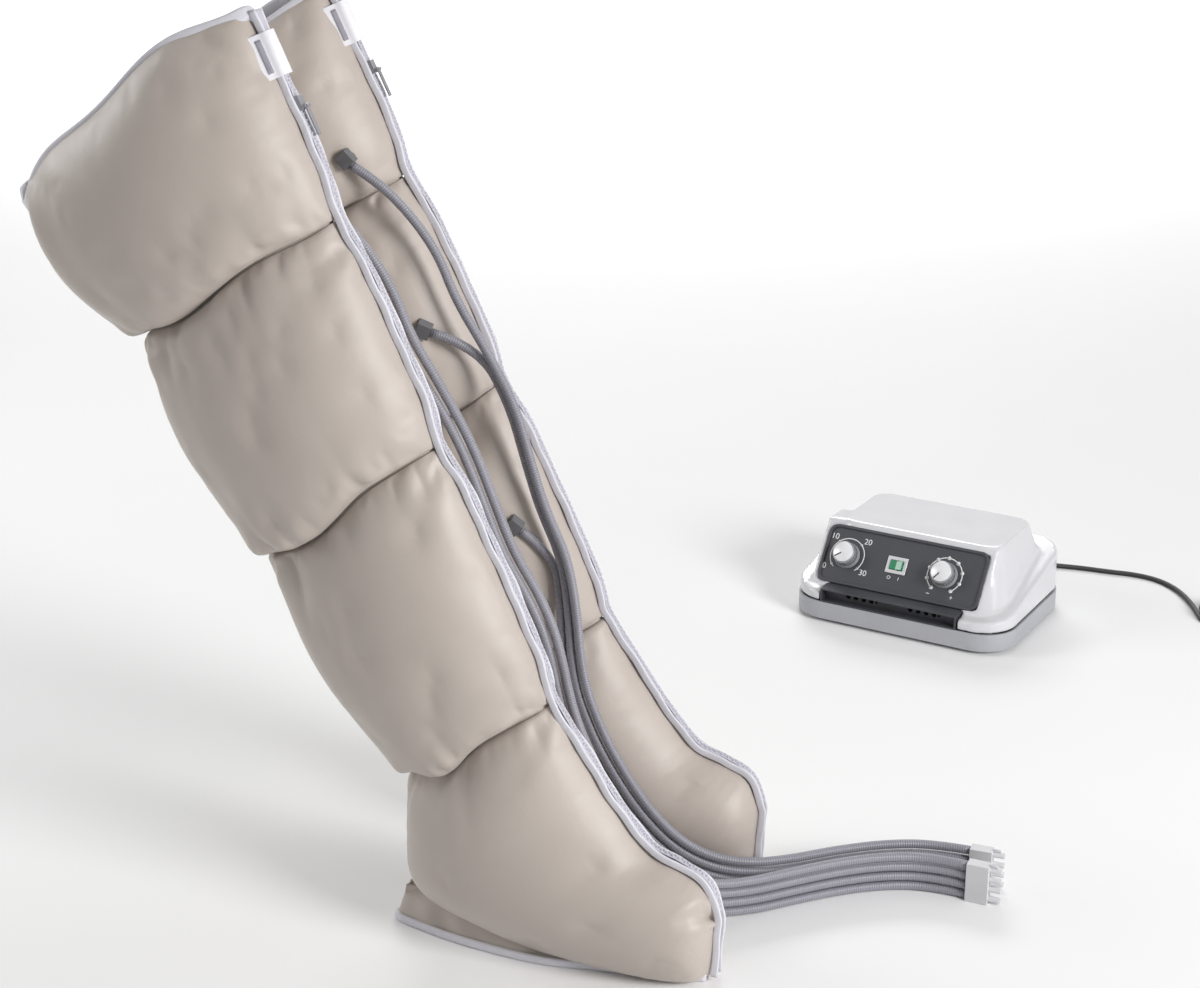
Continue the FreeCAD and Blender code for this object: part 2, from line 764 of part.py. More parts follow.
def build_zip_hardware(name, frame):
    turn = seam_turn()
    tape_top = s.zip_web_out + s.zip_tape_thickness
    coil_top = tape_top + s.zip_coil_height

    outer_half = s.zip_tape_half + s.binding_thickness + s.seat_gap + s.tab_thickness
    roof_low = coil_top + s.slider_gap
    tab_place = Placement(seam_point(s.hem_up - s.tab_drop), turn)
    tab_rise = s.tab_depth + s.tab_thickness
    shell = block(f"{name}_tab_shell", s.tab_length, 2 * outer_half, tab_rise,
                  tab_place * at(0, 0, roof_low - s.tab_depth), "y")
    hollow = block(f"{name}_tab_hollow", s.tab_length + 2 * s.cut_overrun, 2 * (outer_half - s.tab_thickness),
                   tab_rise, tab_place * at(-s.cut_overrun, 0, roof_low - tab_rise), "y")
    tab_outer = cut(f"{name}_tab_fold", shell, hollow)
    thigh = next(thing for thing in nodes if thing.Label == f"{name}_thigh_chamber")
    doc.recompute()
    tab_shape = tab_outer.Shape.cut(moved_copy(thigh.Shape, frame.inverse()))
    tab_shape = max(tab_shape.Solids, key=lambda solid: solid.Volume)
    node(f"{name}_top_tab", feature(f"{name}_tab", tab_shape), frame)

    slider_place = Placement(seam_point(s.hem_up - s.slider_drop), turn)
    body = block(f"{name}_slider_block", s.slider_length, 2 * s.slider_half, s.zip_coil_height + s.slider_roof,
                 slider_place * at(0, 0, tape_top + s.slider_gap), "y")
    groove = block(f"{name}_slider_groove", s.slider_length + 2 * s.cut_overrun,
                   2 * (s.zip_coil_half + s.slider_gap), s.zip_coil_height,
                   slider_place * at(-s.cut_overrun, 0, tape_top + s.slider_gap), "y")
    deck = coil_top + s.slider_gap + s.slider_roof
    pin_rise = deck + s.pull_ring_radius + s.slider_gap
    pin_along = s.slider_length - s.pull_ring_radius - s.slider_gap
    ear_height = pin_rise - deck + s.pull_pin_radius + s.slider_gap
    ear_length = 2 * (s.pull_pin_radius + s.slider_gap + s.slider_gap)
    ears = [block(f"{name}_slider_ear_{i}", ear_length, s.slider_ear, ear_height,
                  slider_place * at(pin_along, sign * (s.slider_half - s.slider_ear / 2), deck))
            for i, sign in enumerate((-1, 1))]
    across = Rotation(right, -90)
    pin = rod(f"{name}_slider_pin", s.pull_pin_radius, 2 * s.slider_half,
              slider_place * at(pin_along, -s.slider_half, pin_rise, across))
    slider = fuse(f"{name}_slider_whole", cut(f"{name}_slider_body", body, groove), *ears, pin)
    node(f"{name}_zip_slider", slider, frame)

    pull_place = slider_place * at(pin_along, 0, pin_rise)
    ring = rod(f"{name}_pull_ring", s.pull_ring_radius, 2 * s.pull_half,
               pull_place * at(0, -s.pull_half, 0, across))
    leaf = block(f"{name}_pull_leaf", s.pull_length, 2 * s.pull_half, s.pull_thickness, pull_place, "yz")
    bore = rod(f"{name}_pull_bore", s.pull_pin_radius + s.running_gap, 2 * (s.pull_half + s.cut_overrun),
               pull_place * at(0, -s.pull_half - s.cut_overrun, 0, across))
    pull = cut(f"{name}_pull_whole", fuse(f"{name}_pull_solid", ring, leaf), bore)
    node(f"{name}_zip_pull", pull, frame)
    lean = math.radians(s.front_lean)
    down = Vector(math.sin(lean), 0, -math.cos(lean))
    report_spot(f"{name}_pull_pin", frame.multVec(pull_place.Base))
    report_spot(f"{name}_zip_down", frame.Rotation.multVec(down))
    report_spot(f"{name}_pull_axis", frame.Rotation.multVec(-back))
    travel = s.hem_up - s.slider_drop - s.slider_stop
    print("value", f"{name}_zip_travel", round(float(travel), 3))


def moved_copy(shape, place):
    other = shape.copy()
    other.Placement = place * other.Placement
    return other


def report_spot(name, spot):
    print("spot", name, round(spot.x, 4), round(spot.y, 4), round(spot.z, 4))


# Cords: straight runs joined by tangent arcs as large as the runs allow

def cord_shape(name, route, diameter):
    edges = []
    start = route[0]
    radii = []
    for i in range(1, len(route) - 1):
        before, here, after = route[i - 1], route[i], route[i + 1]
        towards, onwards = (before - here).normalize(), (after - here).normalize()
        half_turn = (math.pi - towards.getAngle(onwards)) / 2
        reach = bend_share * min(before.distanceToPoint(here), after.distanceToPoint(here))
        radius = reach / math.tan(half_turn)
        radii.append(radius)
        enter, leave = here + towards * reach, here + onwards * reach
        middle_way = (towards + onwards).normalize()
        bend = here + middle_way * (radius / math.cos(half_turn) - radius)
        edges.append(Part.LineSegment(start, enter).toShape())
        edges.append(Part.Arc(enter, bend, leave).toShape())
        start = leave
    edges.append(Part.LineSegment(start, route[-1]).toShape())
    path = Part.Wire(edges)
    along = (route[1] - route[0]).normalize()
    section = Part.Wire([Part.Circle(route[0], along, float(diameter) / 2).toShape()])
    tube = path.makePipeShell([section], True, False)
    whole = math.pi * float(diameter) ** 2 / 4 * path.Length
    print("cord", name, "length", round(path.Length, 1), "least radius", round(min(radii), 1),
          "volume share", round(tube.Volume / whole, 4))
    return tube


def port_spots(side, chambers, lanes):
    # where each fitting stands: its place in the boot's plane, its chamber's skin there, and the way its hose leaves
    stations = leg_stations()
    spots = []
    for i, height in enumerate((s.thigh_port_up, s.knee_port_up, s.calf_port_up)):
        share = (stations[i][0] - height) / (stations[i][0] - stations[i + 1][0])
        tilt = math.radians(between(stations[i][3], stations[i + 1][3], share))
        spot = seam_point(height) - Vector(math.cos(tilt), 0, math.sin(tilt)) * float(s.port_setback)
        spots.append(spot)
    spots.append(Vector(float(s.foot_port_x), 0, float(s.foot_port_z)))
    found = []
    for spot, chamber, lane in zip(spots, chambers, lanes):
        reach = float(s.thigh_crown_width)
        line = Part.LineSegment(spot, spot + back * (side * reach)).toShape()
        skin = max(abs(vertex.Point.y) for vertex in chamber.common(line).Vertexes)
        middle = spot + back * (side * float(skin + s.port_stem_out + s.port_block_depth / 2))
        found.append((spot, skin, middle, (lane[0] - middle).normalize()))
    return found


def build_ports(name, frame, side, chambers, ports):
    fittings = []
    for i, ((spot, skin, middle, way), chamber) in enumerate(zip(ports, chambers)):
        turn = Rotation(right, -90.0 * side)
        stem_start = skin / 2
        stem = rod(f"{name}_port_stem_{i}", s.port_stem_radius, skin + s.port_stem_out - stem_start,
                   Placement(spot + back * (side * stem_start), turn))
        head = block(f"{name}_port_head_{i}", s.port_block, s.port_block_depth, s.port_block,
                     Placement(middle, Rotation(-up, way)), "xyz")
        doc.recompute()
        fitting = stem.Shape.cut(chamber).fuse(head.Shape).removeSplitter()
        fittings.append(max(fitting.Solids, key=lambda solid: solid.Volume))
    node(f"{name}_hose_fittings", feature(f"{name}_fittings", Part.Compound(fittings)), frame)


def ribbon_rows(side, floor_rows):
    lean = math.radians(s.front_lean)
    rows = []
    for height, ahead, out, step_ahead, step_out, step_up in leg_ribbon:
        spot = seam_point(height, ahead)
        step = Vector(step_ahead * math.cos(lean), side * step_out, step_ahead * math.sin(lean) + step_up)
        rows.append((Vector(spot.x, side * out, spot.z), step))
    for x, out, z, step_x, step_out, step_z in ankle_ribbon + floor_rows:
        rows.append((Vector(x, side * out, z), Vector(step_x, side * step_out, step_z)))
    return rows


# Each hose joins the ribbon at this row of it
hose_joins = (0, 4, 8, 12)


def hose_lanes(rows):
    return [[place + step * i for place, step in rows[int(hose_joins[i]):]] for i in range(4)]


def build_hoses(name, frame, rows, ports):
    ends = []
    for part, lane, (spot, skin, middle, way) in zip(("thigh", "knee", "calf", "foot"), hose_lanes(rows), ports):
        exit_spot = middle + way * float(s.port_block / 2)
        report_spot(f"{name}_{part}_hose_exit", frame.multVec(exit_spot))
        tube = cord_shape(f"{name}_{part}_hose", [exit_spot] + lane, s.hose_diameter)
        node(f"{name}_{part}_hose", feature(f"{name}_{part}_tube", tube), frame)
        ends.append(lane[-1])
    heading = (rows[-1][0] - rows[-2][0]).normalize()
    build_plug(name, frame, ends, heading)


def build_plug(name, frame, ends, heading):
    # a block across the ribbon's end with four nipples and a locating peg
    turn = Rotation(right, heading)
    middle = (ends[0] + ends[-1]) * 0.5
    height = 3 * s.hose_pitch + 2 * s.plug_margin
    place = Placement(middle, turn)
    parts = [block(f"{name}_plug_block", s.plug_length, s.plug_thickness, height, place, "yz")]
    level = Rotation(back, 90)
    for i in range(4):
        rise = (1.5 - i) * s.hose_pitch
        parts.append(rod(f"{name}_nipple_{i}", s.nipple_radius, s.nipple_length,
                         place * at(s.plug_length, 0, rise, level)))
    parts.append(rod(f"{name}_peg", s.peg_radius, s.peg_length,
                     place * at(s.plug_length, 0, 1.5 * s.hose_pitch + s.nipple_radius + s.peg_radius, level)))
    node(f"{name}_hose_plug", fuse(f"{name}_plug_whole", *parts), frame)


def build_boot(left):
    name = "left" if left else "right"
    side = -1.0 if left else 1.0
    frame = boot_frame(left)
    chambers = build_chambers(name, frame)
    build_trim(name, frame, chambers)
    build_zip_hardware(name, frame)
    rows = ribbon_rows(side, left_floor_ribbon if left else right_floor_ribbon)
    ports = port_spots(side, chambers, hose_lanes(rows))
    build_ports(name, frame, side, chambers, ports)
    build_hoses(name, frame, rows, ports)


# Control unit: its own frame stands on the floor under its middle, front towards -y

def console_frame():
    place = Vector(float(s.set_shift_x + s.console_x), float(s.set_shift_y + s.console_y), 0)
    return Placement(place, Rotation(up, float(s.console_yaw)))


def rounded_rectangle(width, depth, corner, z, y=0.0):
    w, d, r = float(width) / 2, float(depth) / 2, float(corner)
    lean = r * (1 - math.sqrt(0.5))
    y, z = float(y), float(z)
    edges = []
    for sx, sy, flip in ((1, -1, False), (1, 1, True), (-1, 1, False), (-1, -1, True)):
        first, last = Vector(sx * (w - r), y + sy * d, z), Vector(sx * w, y + sy * (d - r), z)
        middle = Vector(sx * (w - lean), y + sy * (d - lean), z)
        pair = (last, first) if flip else (first, last)
        edges.append((pair, arc(pair[0], middle, pair[1])))
    whole = []
    for i, (pair, edge) in enumerate(edges):
        whole.append(edge)
        whole.append(Part.LineSegment(pair[1], edges[(i + 1) % 4][0][0]).toShape())
    return Part.Wire(whole)


def prism(wire, height):
    return Part.Face(wire).extrude(up * float(height))


def panel_place():
    # the middle of the panel's face, with x along it, y up its slope and z out of it
    tilt = math.radians(s.panel_tilt)
    half = (s.panel_height + 2 * s.panel_frame) / 2
    y = s.wedge_setback - s.console_depth / 2 + half * math.cos(tilt)
    z = s.wedge_bottom + half * math.sin(tilt)
    return Placement(Vector(float(s.wedge_x), float(y), float(z)), Rotation(right, float(s.panel_tilt)))


def wedge_shape(inset):
    tilt = math.radians(s.panel_tilt)
    rise = (s.panel_height + 2 * s.panel_frame) * math.sin(tilt)
    run = (s.panel_height + 2 * s.panel_frame) * math.cos(tilt)
    front = s.wedge_setback - s.console_depth / 2 + inset / math.sin(tilt)
    low = s.wedge_bottom - s.casing_wall
    top = s.wedge_bottom + rise - inset
    spots = [(front - s.casing_wall / math.tan(tilt), low), (front + run - inset / math.tan(tilt), top),
             (front + s.wedge_reach, top), (front + s.wedge_reach, low)]
    half = float((s.panel_width + 2 * s.panel_frame) / 2 - inset)
    points = [Vector(float(s.wedge_x) - half, float(y), float(z)) for y, z in spots]
    return Part.Face(Part.makePolygon(points + points[:1])).extrude(right * (2 * half))


def casing_shape(inset, floor):
    # a tapering core, an outer band whose rim climbs to the back, and the wedge that carries the panel
    base_top = s.foot_pad_height + s.base_height
    roof = s.console_height - inset
    plateau_depth = s.console_depth - s.plateau_front_inset - s.plateau_back_inset
    plateau_y = (s.plateau_front_inset - s.plateau_back_inset) / 2
    core = Part.makeLoft([
        rounded_rectangle(s.console_width - 2 * (s.core_inset + inset), s.console_depth - 2 * (s.core_inset + inset),
                          s.console_corner - s.core_inset - inset, floor),
        rounded_rectangle(s.plateau_width - 2 * inset, plateau_depth - 2 * inset,
                          s.plateau_corner - inset, roof, plateau_y)], True, True)
    trim = s.band_inset + inset
    band = prism(rounded_rectangle(s.console_width - 2 * trim, s.console_depth - 2 * trim, s.console_corner - trim,
                                   floor), s.console_height)
    front = Vector(0, -float(s.console_depth) / 2, float(base_top + s.band_front_height - inset))
    rear = Vector(0, float(s.console_depth) / 2, float(base_top + s.band_back_height - inset))
    slope = (rear - front).normalize()
    reach = float(s.console_width + s.console_depth)
    lid = Part.makeBox(2 * reach, 2 * reach, reach, Vector(-reach, -reach, 0))
    lid.Placement = Placement(front, Rotation(back, slope)) * lid.Placement
    return core.fuse([band.cut(lid), wedge_shape(inset)]).removeSplitter()


def boss_spots():
    x = float(s.console_width / 2 - s.boss_inset)
    y = float(s.console_depth / 2 - s.boss_inset)
    return [Vector(sx * x, sy * y, 0) for sx in (-1, 1) for sy in (-1, 1)]


def build_casings(frame):
    base_top = s.foot_pad_height + s.base_height
    shell = casing_shape(0.0, base_top).cut(casing_shape(s.casing_wall, base_top - s.cut_overrun))
    face = panel_place()
    recess = Part.makeBox(float(s.panel_width + 2 * s.seat_gap), float(s.panel_height + 2 * s.seat_gap),
                          float(s.panel_thickness + s.cut_overrun))
    recess.Placement = face * at(-(s.panel_width + 2 * s.seat_gap) / 2, -(s.panel_height + 2 * s.seat_gap) / 2,
                                 -s.panel_thickness)
    window_width = s.panel_width - 2 * s.panel_ledge
    window_height = s.panel_height - 2 * s.panel_ledge
    depth = 2 * (s.casing_wall + s.cut_overrun)
    window = Part.makeBox(float(window_width), float(window_height), float(depth))
    window.Placement = face * at(-window_width / 2, -window_height / 2, -depth / 2)
    bay = Part.makeBox(float(s.bay_width + 2 * s.seat_gap), float(s.socket_block_depth + s.casing_wall),
                       float(s.bay_height + s.seat_gap))
    bay.translate(Vector(float(s.bay_x - s.bay_width / 2 - s.seat_gap), -float(s.console_depth / 2 + s.casing_wall),
                         float(base_top)))
    shell = shell.cut([recess, window, bay])
    shell = max(shell.Solids, key=lambda solid: solid.Volume)
    node("upper_casing", feature("upper_shell", shell), frame)

    outer = prism(rounded_rectangle(s.console_width, s.console_depth, s.console_corner, s.foot_pad_height),
                  s.base_height)
    inner = prism(rounded_rectangle(s.console_width - 2 * s.casing_wall, s.console_depth - 2 * s.casing_wall,
                                    s.console_corner - s.casing_wall, s.foot_pad_height + s.casing_wall),
                  s.base_height)
    tray = outer.cut(inner)
    floor = s.foot_pad_height + s.casing_wall
    posts = [Part.makeCylinder(float(s.boss_radius), float(base_top - floor), spot + up * float(floor))
             for spot in boss_spots()]
    for x, y, height, radius in board_posts():
        posts.append(Part.makeCylinder(float(radius), float(height), Vector(float(x), float(y), float(floor))))
    tray = tray.fuse(posts)
    hole = s.screw_radius + s.screw_clearance
    for spot in boss_spots():
        low = spot + up * float(s.foot_pad_height - s.cut_overrun)
        tray = tray.cut(Part.makeCylinder(float(hole), float(s.base_height + 2 * s.cut_overrun), low))
        sink = s.screw_head_height + s.screw_clearance + s.cut_overrun
        tray = tray.cut(Part.makeCylinder(float(s.screw_head_radius + s.screw_clearance), float(sink), low))
    relief = Part.makeCylinder(float(s.relief_radius + s.seat_gap), float(s.casing_wall + 2 * s.cut_overrun),
                               Vector(float(s.lead_x), float(s.console_depth / 2 - s.casing_wall - s.cut_overrun),
                                      float(s.lead_z)), back)
    node("lower_casing", feature("lower_shell", tray.cut(relief).removeSplitter()), frame)

    feet = []
    screws = []
    for i, spot in enumerate(boss_spots()):
        offset = float(s.foot_pad_radius + s.boss_radius) / math.sqrt(2)
        way = Vector(math.copysign(offset, spot.x), math.copysign(offset, spot.y), 0)
        foot = turned(f"foot_pad_{i}", [(0.0, 0.0), (s.foot_pad_radius - s.screw_clearance, 0.0),
                                        (s.foot_pad_radius, s.foot_pad_height), (0.0, s.foot_pad_height)])
        foot.Placement = Placement(spot - way, Rotation())
        feet.append(foot)
        top = base_top - s.foot_pad_height - s.screw_clearance
        screw = turned(f"casing_screw_{i}", [
            (0.0, s.screw_clearance), (s.screw_head_radius, s.screw_clearance),
            (s.screw_head_radius, s.screw_clearance + s.screw_head_height),
            (s.screw_radius, s.screw_clearance + s.screw_head_height), (s.screw_radius, top), (0.0, top)])
        screw.Placement = Placement(spot + up * float(s.foot_pad_height), Rotation())
        screws.append(screw)
    node("rubber_feet", group("all_feet", *feet), frame)
    node("casing_screws", group("all_screws", *screws), frame)


def board_posts():
    x = s.board_length / 2 - s.board_post_radius
    y = s.board_width / 2 - s.board_post_radius
    return [(s.board_x + sx * x, s.board_y + sy * y, s.board_post_height, s.board_post_radius)
            for sx in (-1, 1) for sy in (-1, 1)]


def build_panel(frame):
    face = panel_place()
    plate = new_body("control_plate")
    half_width, half_height = s.panel_width / 2, s.panel_height / 2
    corners = [(-half_width, -half_height), (half_width, -half_height), (half_width, half_height),
               (-half_width, half_height)]
    pad(plate, outline(plate, "XY_Plane", "plate_outline", corners), s.panel_thickness, downwards=True)
    doc.recompute()
    for word, offset in (("timer", s.timer_offset), ("pressure", s.pressure_offset)):
        hole = disc(plate, "XY_Plane", f"{word}_hole", s.stem_radius + s.panel_hole_gap, offset, 0.0)
        pocket(plate, hole, s.panel_thickness + s.cut_overrun)
        doc.recompute()
    half_x = s.rocker_width / 2 + s.rocker_gap + s.switch_wall + s.seat_gap
    half_y = s.rocker_height / 2 + s.rocker_gap + s.switch_wall + s.seat_gap
    slot = outline(plate, "XY_Plane", "switch_slot", [
        (s.rocker_offset - half_x, -half_y), (s.rocker_offset + half_x, -half_y),
        (s.rocker_offset + half_x, half_y), (s.rocker_offset - half_x, half_y)])
    pocket(plate, slot, s.panel_thickness + s.cut_overrun)
    doc.recompute()
    uprights = [f"Edge{i + 1}" for i, edge in enumerate(plate.Shape.Edges) if is_corner(edge)]
    flat = plate.Tip
    rounding = plate.newObject("PartDesign::Fillet", "plate_corners")
    rounding.Base = (flat, uprights)
    bind(rounding, Radius=s.panel_corner)
    plate.Placement = face
    node("control_panel", plate, frame)
    report_spot("panel_inward", (frame.Rotation * face.Rotation).multVec(-up))
    for word, offset, radius, depth in (("timer", s.timer_offset, s.timer_body_radius, s.timer_body_depth),
                                        ("pressure", s.pressure_offset, s.valve_body_radius, s.valve_body_depth)):
        build_knob(word, face * at(offset), frame)
        build_mechanism(word, face * at(offset), radius, depth, frame)
    build_switch(face * at(s.rocker_offset), frame)


def is_corner(edge):
    low, high = (vertex.Point for vertex in edge.Vertexes) if len(edge.Vertexes) == 2 else (None, None)
    if low is None:
        return False
    outer = float(s.panel_width) / 2 - float(s.panel_corner)
    return abs(low.x) > outer and low.distanceToPoint(Vector(high.x, high.y, low.z)) < float(s.running_gap)


def build_knob(word, place, frame):
    body = turned(f"{word}_knob_body", [
        (0.0, -s.stem_length), (s.stem_radius, -s.stem_length), (s.stem_radius, s.knob_gap),
        (s.knob_skirt_radius, s.knob_gap), (s.knob_skirt_radius - s.knob_chamfer, s.knob_skirt_height),
        (s.knob_radius, s.knob_skirt_height), (s.knob_radius, s.knob_height - s.knob_chamfer),
        (s.knob_radius - s.knob_chamfer, s.knob_height), (0.0, s.knob_height)])
    doc.recompute()
    rib = disc(body, "XY_Plane", f"{word}_knob_rib", s.knob_rib_radius, s.knob_radius, 0.0)
    flute = pocket(body, rib, s.knob_height - s.knob_chamfer, upwards=True)
    doc.recompute()
    pattern = body.newObject("PartDesign::PolarPattern", f"{word}_knob_ribs")
    pattern.Originals = [flute]
    pattern.Axis = (origin_plane(body, "Z_Axis"), [""])
    pattern.Angle = 360
    pattern.Occurrences = int(s.knob_rib_count)
    body.Tip = pattern
    body.Placement = place
    node(f"{word}_knob", body, frame)
    report_spot(f"{word}_knob_pivot", frame.multVec(place.Base))


def build_mechanism(word, place, radius, depth, frame):
    body = rod(f"{word}_body", radius, depth, place * at(0, 0, -s.panel_thickness - depth))
    bore = rod(f"{word}_bore", s.stem_radius + s.running_gap, s.stem_length - s.panel_thickness + s.running_gap,
               place * at(0, 0, -s.stem_length - s.running_gap))
    label = "timer_mechanism" if word == "timer" else "pressure_valve"
    node(label, cut(f"{word}_mechanism", body, bore), frame)


def build_switch(place, frame):
    inner_x, inner_y = s.rocker_width + 2 * s.rocker_gap, s.rocker_height + 2 * s.rocker_gap
    outer_x, outer_y = inner_x + 2 * s.switch_wall, inner_y + 2 * s.switch_wall
    bezel = block("switch_bezel", outer_x + 2 * s.bezel_border, outer_y + 2 * s.bezel_border, s.bezel_height, place)
    case = block("switch_case", outer_x, outer_y, s.switch_depth, place * at(0, 0, -s.switch_depth))
    well = block("switch_well", inner_x, inner_y, s.switch_depth,
                 place * at(0, 0, -s.switch_depth + s.switch_wall + s.rocker_depth))
    pin = rod("switch_pin", s.rocker_pin_radius, inner_y,
              place * at(0, inner_y / 2, 0, Rotation(right, 90)))
    node("switch_body", fuse("switch_whole", cut("switch_hollow", fuse("switch_solid", bezel, case), well), pin),
         frame)
    # the rocker's two faces meet in a shallow valley over the pin, and it rests pressed on its on side
    body = new_body("rocker_body")
    half = s.rocker_width / 2
    drop = half * math.tan(math.radians(s.rocker_tilt))
    profile = outline(body, "XZ_Plane", "rocker_profile", [
        (-half, -s.rocker_pin_radius), (-half / 2, -s.rocker_depth), (half / 2, -s.rocker_depth),
        (half, -s.rocker_pin_radius), (half, s.rocker_rise + drop), (0.0, s.rocker_rise),
        (-half, s.rocker_rise + drop)])
    pad(body, profile, s.rocker_height, midplane=True)
    doc.recompute()
    hole = disc(body, "XZ_Plane", "rocker_hole", s.rocker_pin_radius + s.running_gap)
    pocket(body, hole, s.rocker_height + s.cut_overrun, midplane=True)
    body.Placement = place * at(0, 0, 0, Rotation(back, -float(s.rocker_tilt)))
    node("power_rocker", body, frame)
    report_spot("rocker_pivot", frame.multVec(place.Base))
    report_spot("rocker_axis", (frame.Rotation * place.Rotation).multVec(back))


def build_sockets(frame):
    base_top = s.foot_pad_height + s.base_height
    front = -s.console_depth / 2 + s.band_inset
    shell = block("socket_shell", s.bay_width, s.socket_block_depth - s.band_inset, s.bay_height,
                  at(s.bay_x, front, base_top), "x")
    mouth = block("socket_mouth", s.bay_width - 2 * s.bay_wall, s.bay_recess + s.cut_overrun,
                  s.bay_height - 2 * s.bay_wall, at(s.bay_x, front - s.cut_overrun, base_top + s.bay_wall), "x")
    tools = [mouth]
    level = Rotation(right, -90)
    rise = base_top + s.socket_rise
    face_y = front + s.bay_recess
    for word, sign in (("right", -1), ("left", 1)):
        middle = s.bay_x + sign * s.socket_group_gap / 2
        for i in range(4):
            x = middle + (i - 1.5) * s.hose_pitch
            tools.append(rod(f"{word}_socket_{i}", s.socket_radius, s.socket_depth + s.cut_overrun,
                             at(x, face_y - s.cut_overrun, rise, level)))
            report_spot(f"{word}_socket_{i}", frame.multVec(Vector(float(x), float(face_y), float(rise))))
        peg_x = middle + 1.5 * s.hose_pitch + s.socket_radius + s.peg_hole_radius + s.bay_wall
        tools.append(rod(f"{word}_peg_hole", s.peg_hole_radius, s.peg_length + s.cut_overrun,
                         at(peg_x, face_y - s.cut_overrun, rise, level)))
    report_spot("socket_out", frame.Rotation.multVec(-back))
    node("socket_block", cut("socket_whole", shell, *tools), frame)


def build_inside(frame):
    floor = s.foot_pad_height + s.casing_wall
    pump_at = at(s.pump_x, s.pump_y, floor)
    frame_block = block("pump_block", s.pump_length, s.pump_width, s.pump_height, pump_at)
    slot = block("pump_slot", s.armature_length + 2 * (s.armature_travel + s.armature_side_gap), s.pump_slot_width,
                 s.pump_slot_height, pump_at * at(0, 0, s.pump_height - s.pump_slot_height))
    level = Rotation(back, 90)
    heads = [rod(f"pump_head_{i}", s.pump_head_radius, s.pump_head_length,
                 pump_at * at(x, 0, s.pump_head_radius, level))
             for i, x in enumerate((-s.pump_length / 2 - s.pump_head_length, s.pump_length / 2))]
    node("pump_body", fuse("pump_whole", cut("pump_frame", frame_block, slot), *heads), frame)
    armature_rise = s.pump_height - s.pump_slot_height + s.seat_gap
    node("pump_armature", block("armature_bar", s.armature_length, s.pump_slot_width - 2 * s.armature_side_gap,
                                s.pump_slot_height - 2 * s.seat_gap, pump_at * at(0, 0, armature_rise)), frame)
    report_spot("armature_axis", frame.Rotation.multVec(right))

    motor_at = at(s.distributor_x, s.distributor_y, floor)
    motor = rod("motor_can", s.motor_radius, s.motor_height, motor_at)
    shaft_way = rod("motor_shaft_way", s.rotor_stem_radius + s.running_gap, s.motor_height, motor_at * at(
        0, 0, s.motor_height / 2))
    node("distributor_motor", cut("motor_whole", motor, shaft_way), frame)
    body_at = motor_at * at(0, 0, s.motor_height)
    housing = rod("distributor_can", s.distributor_radius, s.distributor_height, body_at)
    chamber = rod("distributor_chamber", s.rotor_radius + s.rotor_gap, s.rotor_height + 2 * s.rotor_gap,
                  body_at * at(0, 0, s.rotor_gap))
    neck = rod("distributor_neck", s.rotor_stem_radius + s.running_gap, s.distributor_height / 2,
               body_at * at(0, 0, -s.rotor_gap))
    spouts = [rod(f"distributor_spout_{i}", s.nipple_radius, s.nipple_length, body_at * at(
        x, y, s.distributor_height)) for i, (x, y) in enumerate(spout_spots())]
    node("distributor_body", fuse("distributor_whole", cut("distributor_shell", housing, chamber, neck), *spouts),
         frame)
    disc_part = rod("rotor_disc", s.rotor_radius, s.rotor_height, body_at * at(0, 0, 2 * s.rotor_gap))
    stem = rod("rotor_stem", s.rotor_stem_radius, s.motor_height / 2 + 2 * s.rotor_gap - s.running_gap,
               body_at * at(0, 0, -s.motor_height / 2 + s.running_gap))
    port = rod("rotor_port", s.nipple_radius, s.rotor_height + 2 * s.cut_overrun,
               body_at * at(s.rotor_radius / 2, 0, -s.rotor_gap))
    node("distributor_rotor", cut("rotor_whole", fuse("rotor_solid", disc_part, stem), port), frame)
    report_spot("rotor_axis_spot", frame.multVec(body_at.Base))

    board = new_body("board_body")
    half_x, half_y = s.board_length / 2, s.board_width / 2
    pad(board, outline(board, "XY_Plane", "board_outline", [(-half_x, -half_y), (half_x, -half_y), (half_x, half_y),
                                                           (-half_x, half_y)]), s.board_thickness)
    board.Placement = at(s.board_x, s.board_y, floor + s.board_post_height)
    node("circuit_board", board, frame)


def spout_spots():
    reach = float(s.rotor_radius) / 2
    return [(reach * math.cos(turn * math.pi / 2), reach * math.sin(turn * math.pi / 2)) for turn in range(4)]


# Mains lead: relief, free run, coil with its tie, and plug

def biarc(start, start_way, end, end_way):
    # two tangent arcs from one point and heading to the next
    span = end - start
    both = start_way + end_way
    a = 2 * (1 - start_way.dot(end_way))
    b = 2 * span.dot(both)
    c = -span.dot(span)
    reach = -c / b if abs(a) < 1e-9 else (-b + math.sqrt(b * b - 4 * a * c)) / (2 * a)
    corners = (start + start_way * reach, end - end_way * reach)
    joint = (corners[0] + corners[1]) * 0.5
    edges = []
    for low, corner, high in ((start, corners[0], joint), (joint, corners[1], end)):
        chord_middle = (low + high) * 0.5
        half_angle = (corner - low).getAngle(high - low)
        rise = (high - low).Length / 2 * math.tan(half_angle / 2)
        edges.append(arc(low, chord_middle + (corner - chord_middle).normalize() * rise, high))
    return edges


def coil_spot(turn, centre, first_angle):
    # spirals in over the lower layer, climbs in half a turn at the middle and spirals out again on top
    turns = float(s.coil_turns)
    middle = turns + 0.25
    radius = s.coil_radius - s.coil_pitch * (middle - abs(turn - middle))
    climb = min(max((turn - turns) / 0.5, 0.0), 1.0)
    lift = s.coil_pitch * climb * climb * (3 - 2 * climb)
    angle = first_angle + 2 * math.pi * turn
    return centre + Vector(radius * math.cos(angle), radius * math.sin(angle), lift)


def coil_way(turn, centre, first_angle):
    nudge = 1e-4
    return (coil_spot(turn + nudge, centre, first_angle) - coil_spot(turn - nudge, centre, first_angle)).normalize()


